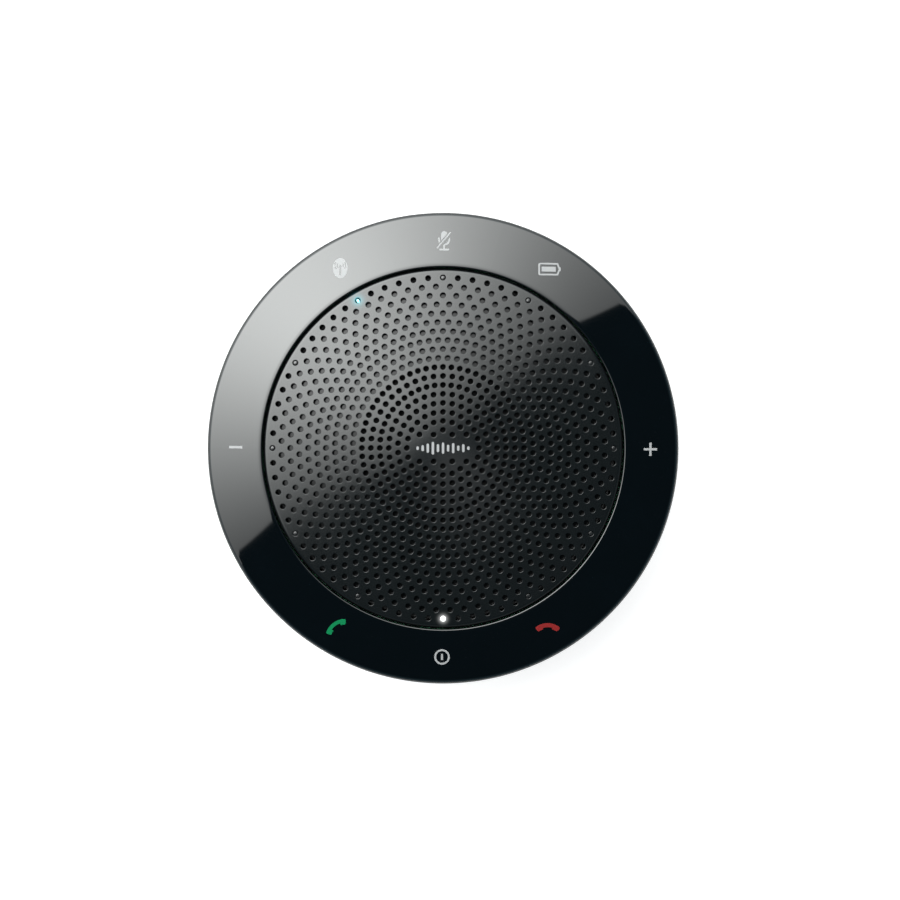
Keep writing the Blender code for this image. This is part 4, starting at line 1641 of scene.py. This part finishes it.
@dataclass
class Housing:
    """The bowl with its winding hub, and the gland in the hub's wall."""

    radius: float = 59.5
    rim: float = 24.5
    floor_top: float = 12.2
    floor_foot: float = 10.2
    hub_radius: float = 34.0
    hub_bore: float = 32.2
    hub_foot: float = 3.7
    groove_radius: float = 43.5
    corner: float = 0.5
    sides: int = 160
    screw_circle: float = 28.6
    screw_angles: tuple[float, ...] = (45.0, 135.0, 225.0, 315.0)
    gland_height: float = 6.95

    def profile(self) -> list[Point2]:
        """Return the bowl's section, from the middle of its floor over the rim and down to the hub."""
        foot = (self.groove_radius, self.floor_foot + 0.5)
        outside = bezier((foot, (51.5, 11.6), (59.0, 16.4), (self.radius, 23.0)), 22)
        inside = bezier(((41.6, self.floor_top), (51.2, 13.5), (57.0, 17.8), (57.5, 23.0)), 14)
        round_rim = arc((self.radius - 0.3, self.rim - 0.3), 0.3, 90.0, 0.0, 3)
        points = [(0.0, self.floor_top), *inside, (57.5, self.rim), *round_rim, *reversed(outside)]
        points += arc((self.groove_radius - 0.5, self.floor_foot + 0.5), 0.5, 0.0, -90.0, 4)[1:]
        fillet = (self.hub_radius + self.corner, self.floor_foot - self.corner)
        points += arc(fillet, self.corner, 90.0, 180.0, 5)
        points += [(self.hub_radius, self.hub_foot), (self.hub_bore, self.hub_foot)]
        points += [(self.hub_bore, self.floor_foot), (0.0, self.floor_foot)]
        return points

    def build_bowl(self) -> None:
        """Build the bowl, its screw bosses and board posts, and the hole for the gland."""
        shape = turned(self.profile(), self.sides)
        posts = bmesh.new()
        for degrees in self.screw_angles:
            boss = polar(self.screw_circle, degrees)
            column(posts, 2.4, 5.9, self.floor_foot + 0.8, (boss.x, boss.y), 32)
            post = polar(38.0, degrees + 45.0)
            column(posts, 2.0, self.floor_top - 0.8, 13.1, (post.x, post.y), 32)
        shape = combined(shape, posts, "UNION")
        holes = bmesh.new()
        for degrees in self.screw_angles:
            boss = polar(self.screw_circle, degrees)
            column(holes, 1.4, 5.0, 10.0, (boss.x, boss.y), 24)
        column(holes, 2.0, 9.0, 13.0, (-24.0, 0.0), 32)
        through = bmesh.new()
        column(through, 2.7, -4.0, 4.0, (0.0, 0.0), 40)
        lay = Matrix.Translation((0.0, self.hub_radius - 1.0, self.gland_height)) @ Matrix.Rotation(math.pi / 2, 4, "X")
        bmesh.ops.transform(through, matrix=lay, verts=through.verts[:])
        shape = combined(combined(shape, holes, "DIFFERENCE"), through, "DIFFERENCE")
        mount(finished("housing_bowl", shape, HOUSING_BLACK), Body.BASE, ["lower_housing"])

    def build_gland(self) -> None:
        """Build the rubber gland that holds the lead in the hub's wall."""
        bore = 1.7
        profile = [(bore, 4.0), *arc((1.9, 3.8), 0.2, 90.0, 0.0, 3), (2.3, 2.4), (2.55, 1.75)]
        profile += [*arc((2.7, 1.5), 0.2, 75.0, 0.0, 3), (2.9, 1.3), (2.4, 1.3), (2.4, -1.3), (2.9, -1.3)]
        profile += [(2.9, -2.2), (2.7, -2.4), (bore, -2.4)]
        shape = turned(profile, 48, closed=True)
        lay = Matrix.Translation((0.0, self.hub_radius - 1.0, self.gland_height)) @ Matrix.Rotation(-math.pi / 2, 4, "X")
        bmesh.ops.transform(shape, matrix=lay, verts=shape.verts[:])
        mount(finished("lead_gland_rubber", shape, RUBBER_BLACK), Body.BASE, ["lead_gland"])

    def build(self) -> None:
        """Build the bowl and its gland."""
        self.build_bowl()
        self.build_gland()


@dataclass
class Base:
    """The flange under the winding groove, with its rubber foot and screws."""

    radius: float = 44.5
    top: float = 3.4
    foot: float = 0.9
    seat: float = 1.9
    foot_inner: float = 32.5
    foot_outer: float = 39.5
    foot_top: float = 1.6
    gap: float = 0.3
    panel_radius: float = 22.0
    panel_depth: float = 0.25
    sides: int = 160
    screw_circle: float = 28.6
    screw_angles: tuple[float, ...] = (45.0, 135.0, 225.0, 315.0)

    def build_cover(self) -> None:
        """Build the flange with its counterbores, screw holes and the notch for the lead."""
        radius, small = self.radius, 0.8
        profile = [(0.0, self.top)]
        profile += arc((radius - small, self.top - small), small, 90.0, 0.0, 5)
        profile += arc((radius - small, self.foot + small), small, 0.0, -90.0, 5)
        profile += [(self.foot_outer + self.gap, self.foot), (self.foot_outer + self.gap, self.seat)]
        profile += [(self.foot_inner - self.gap, self.seat), (self.foot_inner - self.gap, self.foot)]
        panel = self.foot + self.panel_depth
        profile += [(self.panel_radius, self.foot), (self.panel_radius - 0.2, panel), (0.0, panel)]
        shape = turned(profile, self.sides)
        cutters = bmesh.new()
        for degrees in self.screw_angles:
            place = polar(self.screw_circle, degrees)
            column(cutters, 2.7, 0.0, 2.3, (place.x, place.y), 40)
        shape = combined(shape, cutters, "DIFFERENCE")
        through = bmesh.new()
        for degrees in self.screw_angles:
            place = polar(self.screw_circle, degrees)
            column(through, 1.4, 2.0, 4.0, (place.x, place.y), 24)
        block(through, (3.6, 4.0, 6.0), (0.0, radius - 1.2, 2.0))
        shape = combined(shape, through, "DIFFERENCE")
        mount(finished("base_flange", shape, HOUSING_BLACK), Body.BASE, ["base_cover"])

    def build_foot(self) -> None:
        """Build the rubber foot with its three grip grooves."""
        chamfer, groove, depth = 0.35, 0.35, 0.3
        profile = [(self.foot_inner, self.foot_top), (self.foot_outer, self.foot_top)]
        profile += arc((self.foot_outer - chamfer, chamfer), chamfer, 0.0, -90.0, 4)
        for share in (0.75, 0.5, 0.25):
            middle = self.foot_inner + (self.foot_outer - self.foot_inner) * share
            profile += [(middle + groove, 0.0), (middle + groove / 2, depth)]
            profile += [(middle - groove / 2, depth), (middle - groove, 0.0)]
        profile += arc((self.foot_inner + chamfer, chamfer), chamfer, -90.0, -180.0, 4)
        shape = turned(profile, self.sides, closed=True)
        mount(finished("foot_rubber_ring", shape, FOOT_RUBBER), Body.BASE, ["foot_ring"])

    def build_screw(self, number: int, degrees: float) -> None:
        """Build one pan-head screw with a cross recess, its head down."""
        profile = [(0.0, 8.6), (0.5, 8.2), (1.05, 7.0)]
        for turn in range(10):
            height = 6.8 - 0.45 * turn
            profile += [(1.05, height), (0.85, height - 0.2)]
        profile += [(1.05, 2.2), (1.05, 2.0), (2.3, 2.0)]
        profile += arc((1.5, 1.9), 0.8, 0.0, -90.0, 5)[1:] + [(0.0, 1.1)]
        shape = turned(profile, 32)
        for turn in (0.0, 90.0):
            slot = bmesh.new()
            block(slot, (2.2, 0.5, 0.9), (0.0, 0.0, 1.2), degrees + turn)
            shape = combined(shape, slot, "DIFFERENCE")
        bmesh.ops.translate(shape, verts=shape.verts[:], vec=polar(self.screw_circle, degrees))
        piece = finished(f"cover_screw_{number}", shape, SCREW_STEEL)
        mount(piece, Body.BASE, [f"base_screw_{number}"])

    def build(self) -> None:
        """Build the flange, the foot and the screws."""
        self.build_cover()
        self.build_foot()
        for number, degrees in enumerate(self.screw_angles, start=1):
            self.build_screw(number, degrees)


@dataclass
class Spider:
    """The thin corrugated ring that centres the voice coil."""

    outer: float = 15.8
    inner: float = 7.1
    level: float = 22.62
    ripple: float = 0.05
    ripple_pitch: float = 1.3
    flat_from: float = 14.4
    slope_from: float = 9.0
    slope_drop: float = 0.32
    half_wall: float = 0.05
    bend: Point2 = (22.5, 22.38)

    def middle(self, radius: float) -> float:
        """Return the height of the ring's middle at a radius."""
        if radius > self.flat_from:
            return self.level
        if radius > self.slope_from:
            return self.level + self.ripple * math.sin(math.tau * (self.flat_from - radius) / self.ripple_pitch)
        share = (self.slope_from - radius) / (self.slope_from - self.inner)
        return self.level - self.slope_drop * share

    def build(self) -> None:
        """Build the ring."""
        count = 60
        stations = [self.outer + (self.inner - self.outer) * step / count for step in range(count + 1)]
        upper = [(radius, self.middle(radius) + self.half_wall) for radius in stations]
        lower = [(radius, self.middle(radius) - self.half_wall) for radius in reversed(stations)]
        piece = finished("spider_ring", turned(upper + lower, 96, closed=True), CONE_PAPER)
        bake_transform(piece)
        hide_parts("driver_spider")


@dataclass
class Internals:
    """The frame's own nodes that stay in view, each dressed in the finish of its slot."""

    def dress(self) -> None:
        """Give every node that is still shown its finish."""
        slots = {part["node"]: part["material_slot"] for part in frame["record"]["subparts"]}
        for name, node in frame["nodes"].items():
            if node.hide_render:
                continue
            node.data.materials.clear()
            node.data.materials.append(SLOT_FINISHES[slots[name]].material())
            LOG.info("dressed %s as %s", name, slots[name])


@dataclass
class Studio:
    """Pale floor, soft sky and the camera over the unit.

    Attributes:
        card_azimuth: Direction of the big light card.
        card_edge: Angle of its straight edge from straight up.
        card_peak: Radiance where it is brightest.
    """

    card_azimuth: float = 123.0
    card_edge: float = 3.26
    card_peak: float = 7.9
    card_lobe: float = 12.0
    lobe_right: float = 66.0
    lobe_left: float = 49.5
    overhead_share: float = 0.0
    overhead_full: float = 19.0
    card_low_start: float = 42.0
    card_low_end: float = 75.0
    card_low_share: float = 0.28
    sky_dark: float = 0.036
    horizon_glow: float = 0.2
    horizon_start: float = 34.0
    horizon_end: float = 75.0
    spot_azimuth: float = 300.0
    spot_lean: float = 5.5
    spot_radius: float = 8.0
    spot_glow: float = 0.45
    card_tint: Colour = (0.975, 1.0, 0.987)
    sky_tint: Colour = (0.6, 1.0, 1.2)
    floor_size: float = 6.0
    camera_place: tuple[float, float, float] = (1.76, -0.46, 663.6)
    lens: float = 100.0

    def build_sky(self) -> None:
        """Write the sky: a big card on one side, a small one beside straight up, and a glow low down."""
        world = bpy.data.worlds.new("studio")
        world.use_nodes = True
        bpy.context.scene.world = world
        tree = Tree(world.node_tree)
        background = world.node_tree.nodes["Background"]
        direction = tree.node("TexCoord").outputs["Generated"]
        x, y, z = tree.axes(direction)
        turn = math.radians(self.card_azimuth)
        towards = tree.math("ADD", tree.math("MULTIPLY", x, math.cos(turn)), tree.math("MULTIPLY", y, math.sin(turn)))
        beside = tree.math("SUBTRACT", tree.math("MULTIPLY", y, math.cos(turn)), tree.math("MULTIPLY", x, math.sin(turn)))
        zenith = tree.math("DEGREES", tree.math("ARCCOSINE", z))
        over = tree.math("DIVIDE", towards, tree.math("MAXIMUM", z, 0.001))
        edge = math.tan(math.radians(self.card_edge))
        card = tree.spread(over, (edge - 0.003, 0.0), (edge + 0.003, 1.0), smooth=True)
        azimuth = tree.math("SUBTRACT", tree.math("DEGREES", tree.math("ARCTAN2", beside, towards)), self.card_lobe)
        side = tree.math("GREATER_THAN", azimuth, 0.0)
        width = tree.spread(side, (0.0, self.lobe_right), (1.0, self.lobe_left))
        share = tree.math("DIVIDE", azimuth, width)
        lobe = tree.math("EXPONENT", tree.math("MULTIPLY", tree.math("MULTIPLY", share, share), -1.0))
        high = tree.spread(zenith, (self.card_edge, self.overhead_share), (self.overhead_full, 1.0), smooth=True)
        low = tree.spread(zenith, (self.card_low_start, 1.0), (self.card_low_end, self.card_low_share), smooth=True)
        card_light = tree.math("MULTIPLY", tree.math("MULTIPLY", card, lobe), tree.math("MULTIPLY", high, low))
        card_light = tree.math("MULTIPLY", card_light, self.card_peak)
        glow = tree.spread(
            zenith, (self.horizon_start, self.sky_dark), (self.horizon_end, self.horizon_glow), smooth=True
        )
        aim = polar(math.sin(math.radians(self.spot_lean)), self.spot_azimuth, math.cos(math.radians(self.spot_lean)))
        near = tree.node("VectorMath", operation="DOT_PRODUCT")
        tree.join(direction, near.inputs[0])
        near.inputs[1].default_value = aim
        far_edge = math.cos(math.radians(self.spot_radius))
        spot = tree.spread(near.outputs["Value"], (far_edge, 0.0), (1.0, self.spot_glow), smooth=True)
        light = tree.node("CombineColor")
        for card_part, sky_part, socket in zip(self.card_tint, self.sky_tint, light.inputs):
            lit = tree.math("MULTIPLY_ADD", card_light, card_part, spot)
            tree.join(tree.math("MULTIPLY_ADD", glow, sky_part, lit), socket)
        seen = tree.node("LightPath").outputs["Is Camera Ray"]
        tree.join(tree.mix(seen, light.outputs[0], (0.97, 0.97, 0.97, 1.0)), background.inputs["Color"])

    def build_floor(self) -> None:
        """Build the pale floor, which shows a little brighter than it lights."""
        shape = bmesh.new()
        bmesh.ops.create_grid(shape, x_segments=8, y_segments=8, size=self.floor_size / 2 / MM)
        bmesh.ops.translate(shape, verts=shape.verts[:], vec=(0.0, 0.0, -0.02))
        floor = finished("studio_floor", shape, FloorFinish("studio_floor", (0.4, 0.4, 0.4), 0.7))

    def build_camera(self) -> None:
        """Hang the camera over the unit, looking straight down with +Y at the top."""
        data = bpy.data.cameras.new("overhead")
        data.lens = self.lens
        data.sensor_width = 36.0
        data.clip_start = 0.05
        data.clip_end = 50.0
        camera = bpy.data.objects.new("overhead", data)
        bpy.context.scene.collection.objects.link(camera)
        camera.location = Vector(self.camera_place) * MM
        bpy.context.scene.camera = camera

    def build(self) -> None:
        """Build sky, floor and camera, and set plain colour handling."""
        bpy.context.scene.view_settings.view_transform = "Standard"
        self.build_sky()
        self.build_floor()
        self.build_camera()


@dataclass(frozen=True)
class FloorFinish(Finish):
    """Seamless paper that is lit from within as far as the eye is concerned."""

    lift: float = 0.85

    def dress(self, tree: Tree, shader: Node, place: NodeSocket) -> None:
        """Lay paper fibre on the floor and lift it for the eye only."""
        fibre = tree.noise(place, 400.0, 3.0)
        tree.join(tree.mix(fibre, self.tint(0.99), self.tint(1.01)), shader.inputs["Base Color"])
        seen = tree.node("LightPath").outputs["Is Camera Ray"]
        shader.inputs["Emission Color"].default_value = (1.0, 1.0, 1.0, 1.0)
        tree.join(tree.math("MULTIPLY", seen, self.lift), shader.inputs["Emission Strength"])


def main() -> None:
    """Build every sub-assembly from the top down, then the studio."""
    logging.basicConfig(level=logging.INFO, format="%(message)s")
    for part in (Grille(), LampRing(), ControlRing(), Spider(), Housing(), Base()):
        part.build()
    Internals().dress()
    Studio().build()


if __name__ == "__main__":
    main()
